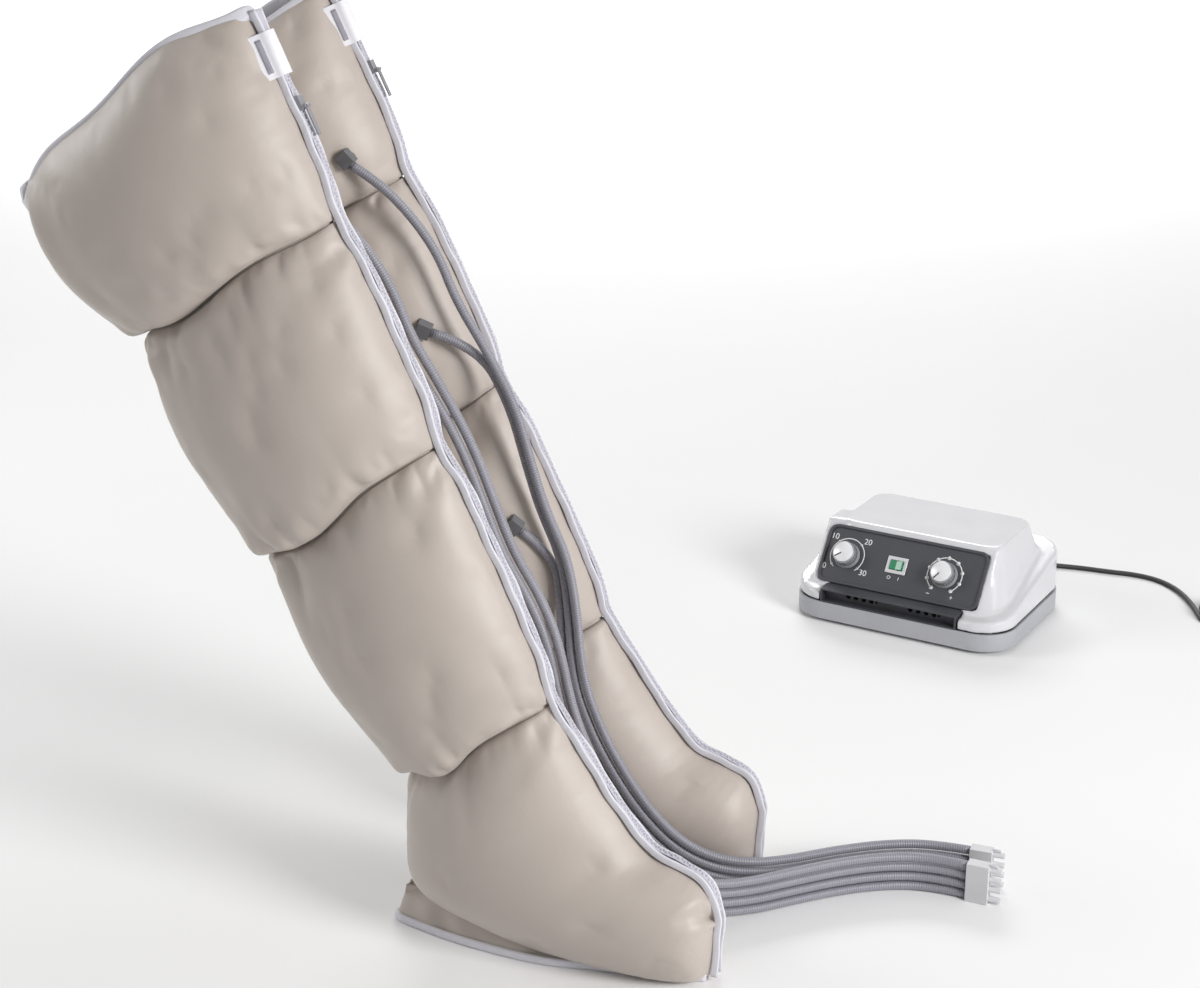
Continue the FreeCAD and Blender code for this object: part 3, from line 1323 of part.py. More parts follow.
def coil_shape(start, heading):
    side = Vector(-heading.y, heading.x, 0)
    centre = start + side * float(s.coil_radius)
    first_angle = math.atan2(-side.y, -side.x)
    whole = 2 * float(s.coil_turns) + 0.5
    steps = int(round(whole * 4))
    turns = [whole * i / steps for i in range(steps + 1)]
    spots = [coil_spot(turn, centre, first_angle) for turn in turns]
    ways = [coil_way(turn, centre, first_angle) for turn in turns]
    ways[0] = Vector(heading)
    first = start - heading * float(s.lead_diameter)
    last = spots[-1] + Vector(ways[-1].x, ways[-1].y, 0).normalize() * float(s.coil_tail)
    ways[-1] = (last - spots[-1]).normalize()
    edges = [Part.LineSegment(first, spots[0]).toShape()]
    for i in range(steps):
        edges += biarc(spots[i], ways[i], spots[i + 1], ways[i + 1])
    edges.append(Part.LineSegment(spots[-1], last).toShape())
    path = Part.Wire(edges)
    section = Part.Wire([Part.Circle(first, Vector(heading), float(s.lead_diameter) / 2).toShape()])
    tube = path.makePipeShell([section], True, False)
    whole_volume = math.pi * float(s.lead_diameter) ** 2 / 4 * path.Length
    print("cord mains_coil length", round(path.Length, 1), "volume share", round(tube.Volume / whole_volume, 4),
          "least gap", round(coil_gap(whole, centre, first_angle), 2))
    return tube, centre, first_angle, last, ways[-1]


def coil_gap(whole, centre, first_angle):
    # least free space between points of the coil that lie more than half a turn apart along it
    per_turn = 60
    count = int(round(whole * per_turn))
    points = [coil_spot(i / per_turn, centre, first_angle) for i in range(count + 1)]
    apart = min(points[i].distanceToPoint(points[j])
                for i in range(count) for j in range(i + per_turn // 2, count + 1))
    return apart - float(s.lead_diameter)


def build_lead(frame):
    level = Rotation(right, -90)
    wall = s.console_depth / 2
    start = at(s.lead_x, wall, s.lead_z, level)
    plugged = rod("relief_plugged", s.relief_radius, s.casing_wall, start * at(0, 0, -s.casing_wall))
    flange = rod("relief_flange", s.relief_flange_radius, s.relief_flange_length, start)
    taper = cone("relief_taper", s.relief_radius, s.relief_tip_radius, s.relief_length, start)
    node("strain_relief", fuse("relief_whole", plugged, flange, taper), frame)

    first = Vector(float(s.lead_x), float(wall + s.relief_length), float(s.lead_z))
    route = [first] + [Vector(*spot) for spot in lead_route]
    heading = (route[-1] - route[-2]).normalize()
    heading.z = 0
    heading.normalize()
    tube = cord_shape("mains_lead", route, s.lead_diameter)
    node("mains_lead", feature("lead_tube", tube), frame)
    report_spot("lead_exit", frame.multVec(first))

    coil_start = route[-1] + heading * float(s.lead_diameter)
    coil, centre, first_angle, last, way = coil_shape(coil_start, heading)
    node("mains_coil", feature("coil_tube", coil), frame)
    report_spot("coil_centre", frame.multVec(centre))
    report_spot("coil_end", frame.multVec(last))

    angle = first_angle + math.pi
    radial = Vector(math.cos(angle), math.sin(angle), 0)
    reach = s.coil_pitch * (s.coil_turns + 1)
    middle = centre + radial * float(s.coil_radius - s.coil_pitch * s.coil_turns / 2)
    rise = s.coil_pitch / 2
    place = Placement(middle + up * float(rise), Rotation(up, math.degrees(angle)))
    height = s.coil_pitch + s.lead_diameter + 2 * s.floor_gap
    band = block("tie_band", reach + 2 * s.tie_thickness, s.tie_width, height + s.tie_thickness,
                 place * at(0, 0, s.tie_thickness / 2), "xyz")
    inside = block("tie_inside", reach, s.tie_width + 2 * s.cut_overrun, height + s.cut_overrun,
                   place * at(0, 0, -s.cut_overrun / 2), "xyz")
    node("coil_tie", cut("tie_whole", band, inside), frame)

    plug_at = Placement(last, Rotation(right, way))
    sideways = Rotation(back, 90)
    neck = cone("plug_neck", s.lead_diameter / 2 + s.tie_thickness, s.plug_neck_radius, s.plug_neck_length,
                plug_at * at(0, 0, 0, sideways))
    body = block("plug_body", s.plug_body_length, s.plug_body_width, s.plug_body_height,
                 plug_at * at(s.plug_neck_length), "yz")
    node("mains_plug", fuse("plug_solid", neck, body), frame)
    tip = s.plug_neck_length + s.plug_body_length
    pins = [rod(f"plug_pin_{i}", s.pin_radius, s.pin_length,
                plug_at * at(tip, sign * s.pin_spacing / 2, 0, sideways)) for i, sign in enumerate((-1, 1))]
    node("plug_pins", group("both_pins", *pins), frame)


def build_console():
    frame = console_frame()
    build_casings(frame)
    build_panel(frame)
    build_sockets(frame)
    build_inside(frame)
    build_lead(frame)


def check_document():
    doc.recompute()
    for thing in doc.Objects:
        if "Invalid" in thing.State or "Error" in thing.State:
            raise RuntimeError(f"{thing.Name} failed: {thing.State}")
    for thing in nodes:
        if thing.Shape.isNull() or not thing.Shape.isValid() or not thing.Shape.Solids:
            raise RuntimeError(f"{thing.Label} has no valid solid")


def write_parts():
    os.makedirs("parts", exist_ok=True)
    for thing in nodes:
        thing.Shape.exportStep(os.path.join("parts", thing.Label + ".step"))
    print("nodes", len(nodes))


build_boot(False)
build_boot(True)
build_console()
check_document()
write_parts()
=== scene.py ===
import json
import math

import bmesh
import bpy
import numpy as np
from mathutils import Matrix, Vector


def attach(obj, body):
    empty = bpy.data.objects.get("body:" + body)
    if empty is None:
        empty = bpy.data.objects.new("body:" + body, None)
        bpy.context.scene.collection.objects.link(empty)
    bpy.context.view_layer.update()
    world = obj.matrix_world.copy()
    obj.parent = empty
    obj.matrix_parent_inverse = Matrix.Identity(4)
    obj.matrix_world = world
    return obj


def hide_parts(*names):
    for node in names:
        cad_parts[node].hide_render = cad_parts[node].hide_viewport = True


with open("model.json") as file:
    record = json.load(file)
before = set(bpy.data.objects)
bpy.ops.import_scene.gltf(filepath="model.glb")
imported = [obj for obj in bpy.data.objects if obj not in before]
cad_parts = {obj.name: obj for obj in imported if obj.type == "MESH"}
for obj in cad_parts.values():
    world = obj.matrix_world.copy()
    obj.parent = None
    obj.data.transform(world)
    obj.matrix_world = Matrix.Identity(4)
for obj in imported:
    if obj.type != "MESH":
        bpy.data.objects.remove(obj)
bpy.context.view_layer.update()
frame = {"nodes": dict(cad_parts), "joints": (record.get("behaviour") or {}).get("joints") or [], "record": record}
cadNodes = frame["nodes"]
collection = bpy.context.scene.collection

view = {"place": (0.8166, -2.2426, 1.143), "down": 20.07, "turn": 20.36, "lens": 68.5, "sensor": 36.0}

# lengths in mm and angles in degrees, as in the CAD part; x ahead, m towards the other leg, z up
boots = {
    "right": {"place": (128.0, -494.0), "yaw": 0.0, "side": 1.0},
    "left": {"place": (105.0, -289.0), "yaw": 4.0, "side": -1.0},
}
leg = {
    "lean": 24.7,
    "ankle": (-4.0, 257.0),
    "hem": (663.0, 300.0, 34.0, 35.0),  # up the seam, width, half thickness, tilt
    "stations": ((640.0, 292.0, 50.0, 34.5), (473.0, 221.0, 41.0, 31.0), (255.0, 207.0, 37.0, 35.0),
                 (0.0, 163.0, 33.0, 32.0)),
    # width at the top, what it loses lower down and how late, bulge halfway, half thickness
    "crowns": ((298.0, 52.0, 2.2, 4.0, 75.0), (242.0, 20.0, 1.5, 10.0, 69.0), (214.0, 34.0, 2.0, 8.0, 62.0)),
    "swellPowers": (0.6, 0.3),  # a chamber slopes away from the crease above it and hangs over the one below
    "edgePowers": (0.3, 0.2),
    "wall": 11.0,
    "hemWall": 3.0,
    "frontPowers": (1.35, 1.05),  # above 1 the panels meet in a ridge, less so where they bulge
    "backPower": 0.86,
    "bow": (-4.0, 2.5),  # where the front seam goes at a crease and between two
    "columns": 144,
    "rows": 40,
}
foot = {
    "tops": ((24.0, 205.6), (52.8, 163.2), (86.4, 122.1), (116.8, 109.2), (140.8, 95.1), (151.0, 69.4),
             (153.0, 58.0)),
    "bottoms": ((-152.0, 104.0), (-146.0, 46.0), (-86.0, 18.0), (16.0, -4.0), (96.0, -10.3), (136.0, -5.1),
                (149.0, 2.0)),
    "halves": (53.8, 55.4, 54.3, 52.6, 47.0, 32.5, 5.0),
    "bottomPowers": (1.0, 1.0, 1.1, 1.35, 1.4, 1.4, 1.4),
    "wall": 17.0,
    "floor": 3.0,
    "liningShare": 0.72,  # how far the lining reaches towards the toe
    "rows": 46,
    # front seam below the ankle: x and z
    "seam": ((24.0, 205.6), (52.8, 163.2), (86.4, 123.4), (116.8, 110.5), (140.8, 96.4), (151.4, 69.4),
             (152.6, 55.0), (149.8, 5.5)),
}
puckers = {"share": 0.155, "reach": 0.5, "start": 3.0, "wavelengths": (17.0, 27.0, 43.0, 70.0), "crease": 2.2,
           "sags": (10.0, 11.0, 15.0), "gap": 0.8}
cloth = {
    "scale": 10.0,
    "frames": 16,
    "limit": 7.0,
    "settings": {"quality": 5, "mass": 0.02, "tension_stiffness": 30.0, "compression_stiffness": 30.0,
                 "shear_stiffness": 10.0, "bending_stiffness": 3.0, "vertex_group_mass": "held",
                 "use_pressure": True, "uniform_pressure_force": 5.0, "shrink_min": -0.006},
}
# long soft folds: from a share of the way round and down the chamber to another, depth and width in mm
folds = {
    "thigh": ((0.6, 0.02, 0.6, 0.7, -7.0, 13), (0.86, 0.02, 0.965, 0.3, 4.5, 11),
              (0.68, 0.06, 0.74, 0.4, 2.4, 14), (0.1, 0.1, 0.2, 0.5, 3.5, 12),
              (0.9, 0.97, 0.8, 0.86, 4.0, 7)),
    "knee": ((0.595, 0.02, 0.6, 0.6, -6.0, 12), (0.55, 0.02, 0.66, 0.14, 4.0, 8),
             (0.6, 0.97, 0.68, 0.86, 3.2, 9), (0.95, 0.1, 0.84, 0.2, 3.0, 10),
             (0.12, 0.05, 0.22, 0.3, 3.5, 10), (0.93, 0.97, 0.85, 0.84, 4.0, 8)),
    "calf": ((0.595, 0.02, 0.6, 0.6, -5.0, 11), (0.56, 0.02, 0.67, 0.12, 4.0, 8),
             (0.61, 0.97, 0.7, 0.88, 3.2, 9), (0.95, 0.06, 0.86, 0.18, 3.0, 9),
             (0.1, 0.04, 0.22, 0.22, 3.5, 10), (0.94, 0.97, 0.84, 0.88, 4.5, 8)),
    "foot": ((0.95, 0.02, 0.83, 0.12, 4.0, 9), (0.97, 0.95, 0.85, 0.84, 7.0, 7),
             (0.6, 0.03, 0.68, 0.16, 3.5, 9), (0.12, 0.05, 0.2, 0.25, 3.0, 10)),
}
# top edge: the outer panel rises in the middle and drops at the back, where the inner one stands out
hem = {"rise": 15.0, "scallop": 0.35, "backDrop": 26.0, "innerRise": 9.0, "backSag": 4.0, "innerReach": 13.0}


def hexColour(text):
    shares = [int(text[i:i + 2], 16) / 255 for i in (0, 2, 4)]
    return tuple(v / 12.92 if v <= 0.04045 else ((v + 0.055) / 1.055) ** 2.4 for v in shares) + (1.0,)


def addNode(tree, kind, inputs=None, **settings):
    node = tree.nodes.new(kind)
    for name, value in settings.items():
        setattr(node, name, value)
    for name, value in (inputs or {}).items():
        socket = node.inputs[name]
        if isinstance(value, bpy.types.NodeSocket):
            tree.links.new(value, socket)
        else:
            socket.default_value = value
    return node


def newMaterial(name):
    material = bpy.data.materials.new(name)
    material.use_nodes = True
    tree = material.node_tree
    tree.nodes.clear()
    return material, tree


def finishMaterial(tree, inputs):
    shader = addNode(tree, "ShaderNodeBsdfPrincipled", inputs)
    addNode(tree, "ShaderNodeOutputMaterial", {"Surface": shader.outputs[0]})


def blended(tree, share, low, high):
    return addNode(tree, "ShaderNodeMix", {0: share, 6: low, 7: high}, data_type="RGBA").outputs[2]


def waveScale(period):
    # a wave texture repeats every pi / 10 at scale 1, and the UV maps are in metres
    return 1000 * math.pi / 10 / period


def mottled(tree, coordinates, low, high, size):
    # two near tones of one colour, drifting over a distance given in mm
    drift = addNode(tree, "ShaderNodeTexNoise", {"Vector": coordinates, "Scale": 1000 / size,
                                                 "Detail": 3.0})
    return blended(tree, drift.outputs[0], hexColour(low), hexColour(high))


def fabricMaterial(name, low, high, thread, roughness, sheen, creaseSize, creaseDepth):
    # woven threads on the piece's own UV map, which is in metres, under a drift of tone and fine creases
    material, tree = newMaterial(name)
    place = addNode(tree, "ShaderNodeTexCoord")
    uv, spot = place.outputs["UV"], place.outputs["Object"]
    tone = mottled(tree, spot, low, high, 70.0)
    lines = {"Vector": uv, "Scale": waveScale(thread), "Distortion": 0.4, "Detail": 1.0}
    warp = addNode(tree, "ShaderNodeTexWave", lines, bands_direction="X").outputs["Fac"]
    weft = addNode(tree, "ShaderNodeTexWave", lines, bands_direction="Y").outputs["Fac"]
    weave = addNode(tree, "ShaderNodeMath", {0: warp, 1: weft}, operation="MULTIPLY")
    shade = blended(tree, weave.outputs[0], tone, hexColour(high))
    crumple = addNode(tree, "ShaderNodeTexNoise", {"Vector": spot, "Scale": 1000 / creaseSize, "Detail": 4.0,
                                                   "Roughness": 0.55, "Distortion": 0.6})
    crumpled = addNode(tree, "ShaderNodeBump", {"Height": crumple.outputs[0], "Strength": creaseDepth,
                                                "Distance": 0.002})
    woven = addNode(tree, "ShaderNodeBump", {"Height": weave.outputs[0], "Strength": 0.12, "Distance": 0.0003,
                                             "Normal": crumpled.outputs[0]})
    rough = addNode(tree, "ShaderNodeMapRange", {"Value": crumple.outputs[0], "To Min": roughness - 0.06,
                                                 "To Max": roughness + 0.08})
    finishMaterial(tree, {"Base Color": shade, "Roughness": rough.outputs[0], "IOR": 1.5,
                          "Sheen Weight": sheen, "Sheen Roughness": 0.4, "Normal": woven.outputs[0]})
    return material


def mouldedMaterial(name, low, high, roughness, grain, depth, metallic=0.0, coat=0.0):
    # moulded or cast surface: slow drift of tone and a fine grain, its size in mm
    material, tree = newMaterial(name)
    spot = addNode(tree, "ShaderNodeTexCoord").outputs["Object"]
    tone = mottled(tree, spot, low, high, 40.0)
    pits = addNode(tree, "ShaderNodeTexNoise", {"Vector": spot, "Scale": 1000 / grain, "Detail": 2.0})
    bump = addNode(tree, "ShaderNodeBump", {"Height": pits.outputs[0], "Strength": depth, "Distance": 0.0004})
    smear = addNode(tree, "ShaderNodeTexNoise", {"Vector": spot, "Scale": 22.0, "Detail": 4.0})
    rough = addNode(tree, "ShaderNodeMapRange", {"Value": smear.outputs[0], "To Max": roughness + 0.07,
                                                 "To Min": max(roughness - 0.05, 0.02)})
    finishMaterial(tree, {"Base Color": tone, "Roughness": rough.outputs[0], "Metallic": metallic, "IOR": 1.5,
                          "Coat Weight": coat, "Coat Roughness": 0.08, "Normal": bump.outputs[0]})
    return material


def hoseMaterial(name, low, high, roughness, lay):
    # extruded vinyl: faint rings on the UV map, whose v runs along the cord in metres
    material, tree = newMaterial(name)
    place = addNode(tree, "ShaderNodeTexCoord")
    tone = mottled(tree, place.outputs["Object"], low, high, 55.0)
    rings = addNode(tree, "ShaderNodeTexWave", {"Vector": place.outputs["UV"], "Scale": waveScale(lay),
                                                "Distortion": 0.2}, bands_direction="Y")
    bump = addNode(tree, "ShaderNodeBump", {"Height": rings.outputs["Fac"], "Strength": 0.6,
                                            "Distance": 0.0005})
    shade = blended(tree, rings.outputs["Fac"], tone, hexColour(high))
    finishMaterial(tree, {"Base Color": shade, "Roughness": roughness, "IOR": 1.53,
                          "Normal": bump.outputs[0]})
    return material


materials = {
    # cloth: two tones, thread spacing in mm, roughness, sheen, crumple size in mm and depth
    # satin nylon with a coated back has soft wide highlights; its weave is drawn at 0.9 mm so that it shows
    "boot_fabric": fabricMaterial("coated nylon", "B2A79E", "BDB3AB", 0.9, 0.42, 0.25, 26.0, 0.22),
    "boot_binding": fabricMaterial("woven binding tape", "CDCCD4", "DEDDE4", 1.1, 0.6, 0.3, 12.0, 0.3),
    "zip_fabric": fabricMaterial("woven zip tape", "B4B2BC", "C6C4CE", 1.0, 0.65, 0.2, 9.0, 0.2),
    "tab_fabric": fabricMaterial("white woven tape", "E2E0E6", "EFEEF2", 1.2, 0.6, 0.3, 10.0, 0.25),
    "tab_stripe": fabricMaterial("grey hook tape", "8D8B95", "A3A1AB", 1.0, 0.75, 0.1, 5.0, 0.5),
    # extruded: two tones, roughness, ring spacing in mm
    "hose_vinyl": hoseMaterial("extruded grey vinyl", "75747D", "94939C", 0.34, 2.4),
    "lead_vinyl": hoseMaterial("extruded black vinyl", "141416", "202023", 0.4, 2.4),
    # moulded, painted or plated: two tones, roughness, grain size in mm and depth, metallic, coat
    "plug_plastic": mouldedMaterial("moulded pale nylon", "C6C6C9", "D4D4D6", 0.42, 0.8, 0.12),
    "fitting_plastic": mouldedMaterial("moulded dark nylon", "626266", "727276", 0.42, 0.8, 0.12),
    "casing_white": mouldedMaterial("glossy white abs", "D0D0D4", "DADADD", 0.16, 1.5, 0.04, 0.0, 0.4),
    "casing_grey": mouldedMaterial("textured grey abs", "A6A7AD", "B2B3B8", 0.48, 0.7, 0.25),
    "panel_charcoal": mouldedMaterial("textured charcoal abs", "38393E", "44454A", 0.46, 0.6, 0.25),
    "knob_plastic": mouldedMaterial("satin grey abs", "8B8C90", "9A9B9F", 0.38, 0.6, 0.15),
    "knob_cap": mouldedMaterial("satin silver paint", "DEDEE0", "EAEAEC", 0.3, 0.5, 0.08, 0.15),
    "rocker_green": mouldedMaterial("green polycarbonate", "0A7048", "148A5C", 0.16, 1.2, 0.04, 0.0, 0.5),
    "print_white": mouldedMaterial("white screen ink", "E8E8EA", "F2F2F3", 0.55, 0.4, 0.1),
    "zip_metal": mouldedMaterial("painted zinc", "8C8C92", "9C9CA2", 0.36, 0.7, 0.1, 0.6),
    "mechanism_metal": mouldedMaterial("painted steel", "6A6B6E", "7B7C80", 0.4, 0.8, 0.1, 0.5),
    "bare_steel": mouldedMaterial("bright steel", "A5A6A8", "B6B7B9", 0.28, 0.5, 0.1, 1.0),
    "board_laminate": mouldedMaterial("lacquered glass laminate", "14502B", "1C6236", 0.3, 0.5, 0.2),
    "foot_rubber": mouldedMaterial("moulded black rubber", "19191A", "242425", 0.7, 0.6, 0.3),
    "pin_nickel": mouldedMaterial("nickel plate", "BDBBB6", "CBC9C5", 0.2, 0.6, 0.05, 1.0),
}


def dress(thing, slotName, materialName=None):
    thing.data.materials.clear()
    thing.data.materials.append(materials[materialName or slotName])
    return thing


def added(name, data):
    thing = bpy.data.objects.new(name, data)
    collection.objects.link(thing)
    return thing


def meshOf(name, bm):
    mesh = bpy.data.meshes.new(name)
    bm.to_mesh(mesh)
    bm.free()
    mesh.shade_smooth()
    return mesh


def addPiece(name, bm, slotName, replaced=(), body="set", materialName=None):
    piece = added(name, meshOf(name, bm))
    dress(piece, slotName, materialName)
    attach(piece, body)
    if replaced:
        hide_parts(*replaced)
    return piece


def curveMesh(curve):
    thing = added(curve.name, curve)
    mesh = bpy.data.meshes.new_from_object(thing)
    bpy.data.objects.remove(thing)
    bpy.data.curves.remove(curve)
    return mesh


def stepsOf(places, axis):
    return np.linalg.norm(np.diff(places, axis=axis), axis=-1)


def running(steps):
    return np.concatenate(([0.0], np.cumsum(steps)))


def unit(ways):
    return ways / np.linalg.norm(ways, axis=-1, keepdims=True)


def closeUp(bm):
    bmesh.ops.holes_fill(bm, edges=[edge for edge in bm.edges if edge.is_boundary], sides=0)
    bmesh.ops.recalc_face_normals(bm, faces=bm.faces)
    return bm


def mappedGrid(places, uvs):
    # a closed grid bent to the places given row by row, with its UV map in metres
    rows, columns = places.shape[:2]
    bm = bmesh.new()
    bmesh.ops.create_grid(bm, x_segments=columns - 1, y_segments=rows - 1, size=1.0)
    layer = bm.loops.layers.uv.verify()
    spots, marks = places.reshape(-1, 3), uvs.reshape(-1, 2)
    bm.verts.index_update()
    for face in bm.faces:
        for loop in face.loops:
            loop[layer].uv = marks[loop.vert.index]
    for vert, spot in zip(bm.verts, spots):
        vert.co = spot
    bmesh.ops.remove_doubles(bm, verts=bm.verts, dist=1e-6)
    return closeUp(bm)


def measuredUvs(places):
    # how far each place lies along its row and its column, in metres
    u = running(stepsOf(places, 1).mean(axis=0))
    v = running(stepsOf(places, 0).mean(axis=1))
    return np.stack(np.meshgrid(u, v), axis=2)


def sweep(path, profile, ups, closed=False):
    # a closed profile carried along a path; ups gives which way its second coordinate points
    path = np.asarray(path, float)
    count = len(path)
    rows = []
    for i in range(count):
        after = (i + 1) % count if closed else min(i + 1, count - 1)
        before = i - 1 if closed else max(i - 1, 0)
        ahead = unit(path[after] - path[before])
        rise = np.asarray(ups[i], float)
        rise = unit(rise - ahead * rise.dot(ahead))
        wide = np.cross(ahead, rise)
        rows.append([path[i] + wide * a + rise * b for a, b in profile + profile[:1]])
    if closed:
        rows.append(rows[0])
    return np.array(rows)


def swept(line, profile, ups, closed=False):
    rows = sweep(line, profile, ups, closed) / 1000
    return mappedGrid(rows, measuredUvs(rows))


def joined(*parts):
    whole = bmesh.new()
    for part in parts:
        mesh = bpy.data.meshes.new("part")
        part.to_mesh(mesh)
        part.free()
        whole.from_mesh(mesh)
        bpy.data.meshes.remove(mesh)
    return whole


def outwards(line):
    # away from the boot, for a line in its middle plane
    ahead = np.gradient(line, axis=0)
    normals = np.stack([-ahead[:, 2], np.zeros(len(line)), ahead[:, 0]], axis=1)
    return unit(normals)


def ripple(count, size, seed, waves=(5, 11, 23)):
    random = np.random.default_rng(seed)
    share = np.linspace(0, 2 * math.pi, count)
    return size * sum(random.uniform(0.4, 1.0) * np.sin(wave * share + random.uniform(0, 6.28))
                      for wave in waves)


def roundedProfile(width, height, radius, steps=4):
    spots = []
    for cx, cy, first in ((1, 1, 0), (-1, 1, 90), (-1, -1, 180), (1, -1, 270)):
        for k in range(steps + 1):
            angle = math.radians(first + 90 * k / steps)
            spots.append((cx * (width / 2 - radius) + radius * math.cos(angle),
                          cy * (height / 2 - radius) + radius * math.sin(angle)))
    return spots


def splineSpots(points, wanted):
    # a curve through the points, which lie at 0, 1, 2 and so on along it
    longer = np.vstack([2 * points[0] - points[1], points, 2 * points[-1] - points[-2]])
    spots = []
    for place in wanted:
        i = min(int(place), len(points) - 2)
        t = place - i
        p0, p1, p2, p3 = longer[i:i + 4]
        spots.append(0.5 * (2 * p1 + (p2 - p0) * t + (2 * p0 - 5 * p1 + 4 * p2 - p3) * t ** 2
                            + (3 * p1 - p0 - 3 * p2 + p3) * t ** 3))
    return np.array(spots)


def smoothPath(points, count):
    # evenly spaced places on that curve
    points = np.asarray(points, float)
    spans = len(points) - 1
    fine = splineSpots(points, np.linspace(0, spans, 24 * spans + 1))
    length = running(stepsOf(fine, 0))
    wanted = np.linspace(0, length[-1], count)
    return np.stack([np.interp(wanted, length, fine[:, k]) for k in range(3)], axis=1)


def toWorld(places, boot):
    # boot's own mm to the frame's metres
    places = np.asarray(places, float)
    yaw = math.radians(boot["yaw"])
    x, y, z = places[..., 0], places[..., 1] * boot["side"], places[..., 2]
    return np.stack([boot["place"][0] + x * math.cos(yaw) - y * math.sin(yaw),
                     boot["place"][1] + x * math.sin(yaw) + y * math.cos(yaw), z], axis=-1) / 1000


def seamPoint(up, ahead=0.0, m=0.0):
    lean = math.radians(leg["lean"])
    return np.array([leg["ankle"][0] - up * math.sin(lean) + ahead * math.cos(lean), m,
                     leg["ankle"][1] + up * math.cos(lean) + ahead * math.sin(lean)])


def seamBow(up):
    # the front seam is drawn in at the creases
    near = min(abs(up - station[0]) for station in leg["stations"][1:])
    return leg["bow"][1] + (leg["bow"][0] - leg["bow"][1]) * math.exp(-(near / 30) ** 2)


# camera and cords

camera = added("camera", bpy.data.cameras.new("camera"))
camera.location = view["place"]
camera.rotation_euler = (math.radians(90 - view["down"]), 0, math.radians(view["turn"]))
camera.data.lens = view["lens"]
camera.data.sensor_width = view["sensor"]
bpy.context.scene.camera = camera

hoses = {
    "diameter": 9.0,
    "joins": (0, 4, 8, 12),  # row of the ribbon where each hose joins it
    "shift": {"right": -12.0, "left": 9.0},  # how far the hoses lie from their solids along the leg's depth
    "exits": {"right": ((-111.0236, -442.5238, 702.1862), (-36.9061, -443.0607, 546.5413),
                        (48.831, -444.6663, 355.6971), (102.3115, -431.0188, 144.5791)),
              "left": ((-129.8506, -357.0243, 702.1862), (-55.951, -351.3184, 546.5413),
                       (29.4652, -343.7361, 355.6971), (83.7674, -353.6197, 144.5791))},
    # distance up the front seam, ahead of it and out, then the step ahead and out to the next hose
    "leg": ((478, -19, 50, -8, -6.5), (440, -4, 48, -8, -6.5), (396, 5, 47, -8, -6.5), (350, 2, 47, -8, -6.5),
            (300, 9, 48, -8, -6.5), (238, 14, 49, -8, -6.5), (180, 7, 50, -8, -6.5), (132, 2, 50, -8, -6.5),
            (84, 5, 52, -8.4, -6), (38, -2, 58, -9.5, -4)),
    "ankle": ((-12, 65, 215, -9.8, -1, -3.4), (8, 69, 165, -9.6, -0.3, -4.2), (30, 70, 125, -8.6, 0, -6),
              (56, 71, 88, -7.2, 0, -7.6), (88, 73, 58, -4.8, 0, -9.3)),  # x, out, z and the step
    "floor": {"right": ((120, 91), (150, 120), (182, 152), (219, 186), (260, 214), (302, 228), (340, 225)),
              "left": ((122, 71), (160, 62), (196, 41), (235, 11), (280, -15), (325, -28), (362, -25))},
    "floorSteps": ((42, -1.6, 0, -10.4), (37, 0, 0, -10.5)) + 5 * ((36.4, 0, 0, -10.5),),
    "lengths": {"right": (1.044, 0.888, 0.684, 0.473), "left": (1.039, 0.883, 0.680, 0.469)},
}
lead = {
    "diameter": 6.4,
    "route": ((60, 146.5, 17), (60, 164, 17), (63, 182, 12.5), (74, 199, 6.3), (97, 213, 3.3),
              (130, 222, 3.3), (164, 227, 3.3), (198, 235, 3.3), (230, 232, 3.3), (257, 216, 3.3),
              (278, 194, 3.3), (295, 170, 3.3), (309, 146, 3.3)),
    "coilRadius": 48.0,
    "coilPitch": 7.0,
    "coilTurns": 3.0,
    "tail": 42.0,
    "length": 1.882,
}
console = {"place": (269.0, 440.0), "yaw": -10.0}


def consoleMatrix():
    return Matrix.Translation((console["place"][0] / 1000, console["place"][1] / 1000, 0)) @ Matrix.Rotation(
        math.radians(console["yaw"]), 4, "Z")


def routeLine(points):
    # places along a quadratic spline that has the route's points as its controls
    curve = bpy.data.curves.new("route", "CURVE")
    curve.dimensions = "3D"
    spline = curve.splines.new("NURBS")
    spline.points.add(len(points) - 1)
    for point, spot in zip(spline.points, points):
        point.co = (*spot, 1.0)
    spline.order_u = 3
    spline.use_endpoint_u = True
    curve.resolution_u = 10
    mesh = curveMesh(curve)
    line = np.array([vert.co[:] for vert in mesh.vertices])
    bpy.data.meshes.remove(mesh)
    keep = np.concatenate(([True], stepsOf(line, 0) > 1e-6))
    return line[keep]


def tube(line, radius, sides=14):
    # a round tube with a frame carried along without twist, closed at both ends
    ahead = unit(np.gradient(line, axis=0))
    rise = np.cross(ahead[0], (0.31, 0.2, 0.93))
    rows = []
    for spot, way in zip(line, ahead):
        rise = unit(rise - way * rise.dot(way))
        wide = np.cross(way, rise)
        angles = np.linspace(0, 2 * math.pi, sides + 1)
        rows.append(spot + radius * (np.cos(angles)[:, None] * rise + np.sin(angles)[:, None] * wide))
    rows = np.array(rows)
    return mappedGrid(rows, measuredUvs(rows))


def ribbonRows(name):
    lean = math.radians(leg["lean"])
    rows = []
    for up, ahead, out, stepAhead, stepOut in hoses["leg"]:
        rows.append((seamPoint(up, ahead + hoses["shift"][name] * min(1.0, up / 240), out),
                     np.array([stepAhead * math.cos(lean), stepOut, stepAhead * math.sin(lean)])))
    floor = [spot + rise for spot, rise in zip(hoses["floor"][name], hoses["floorSteps"])]
    for row in [*hoses["ankle"], *floor]:
        rows.append((np.array(row[:3], float), np.array(row[3:], float)))
    return rows


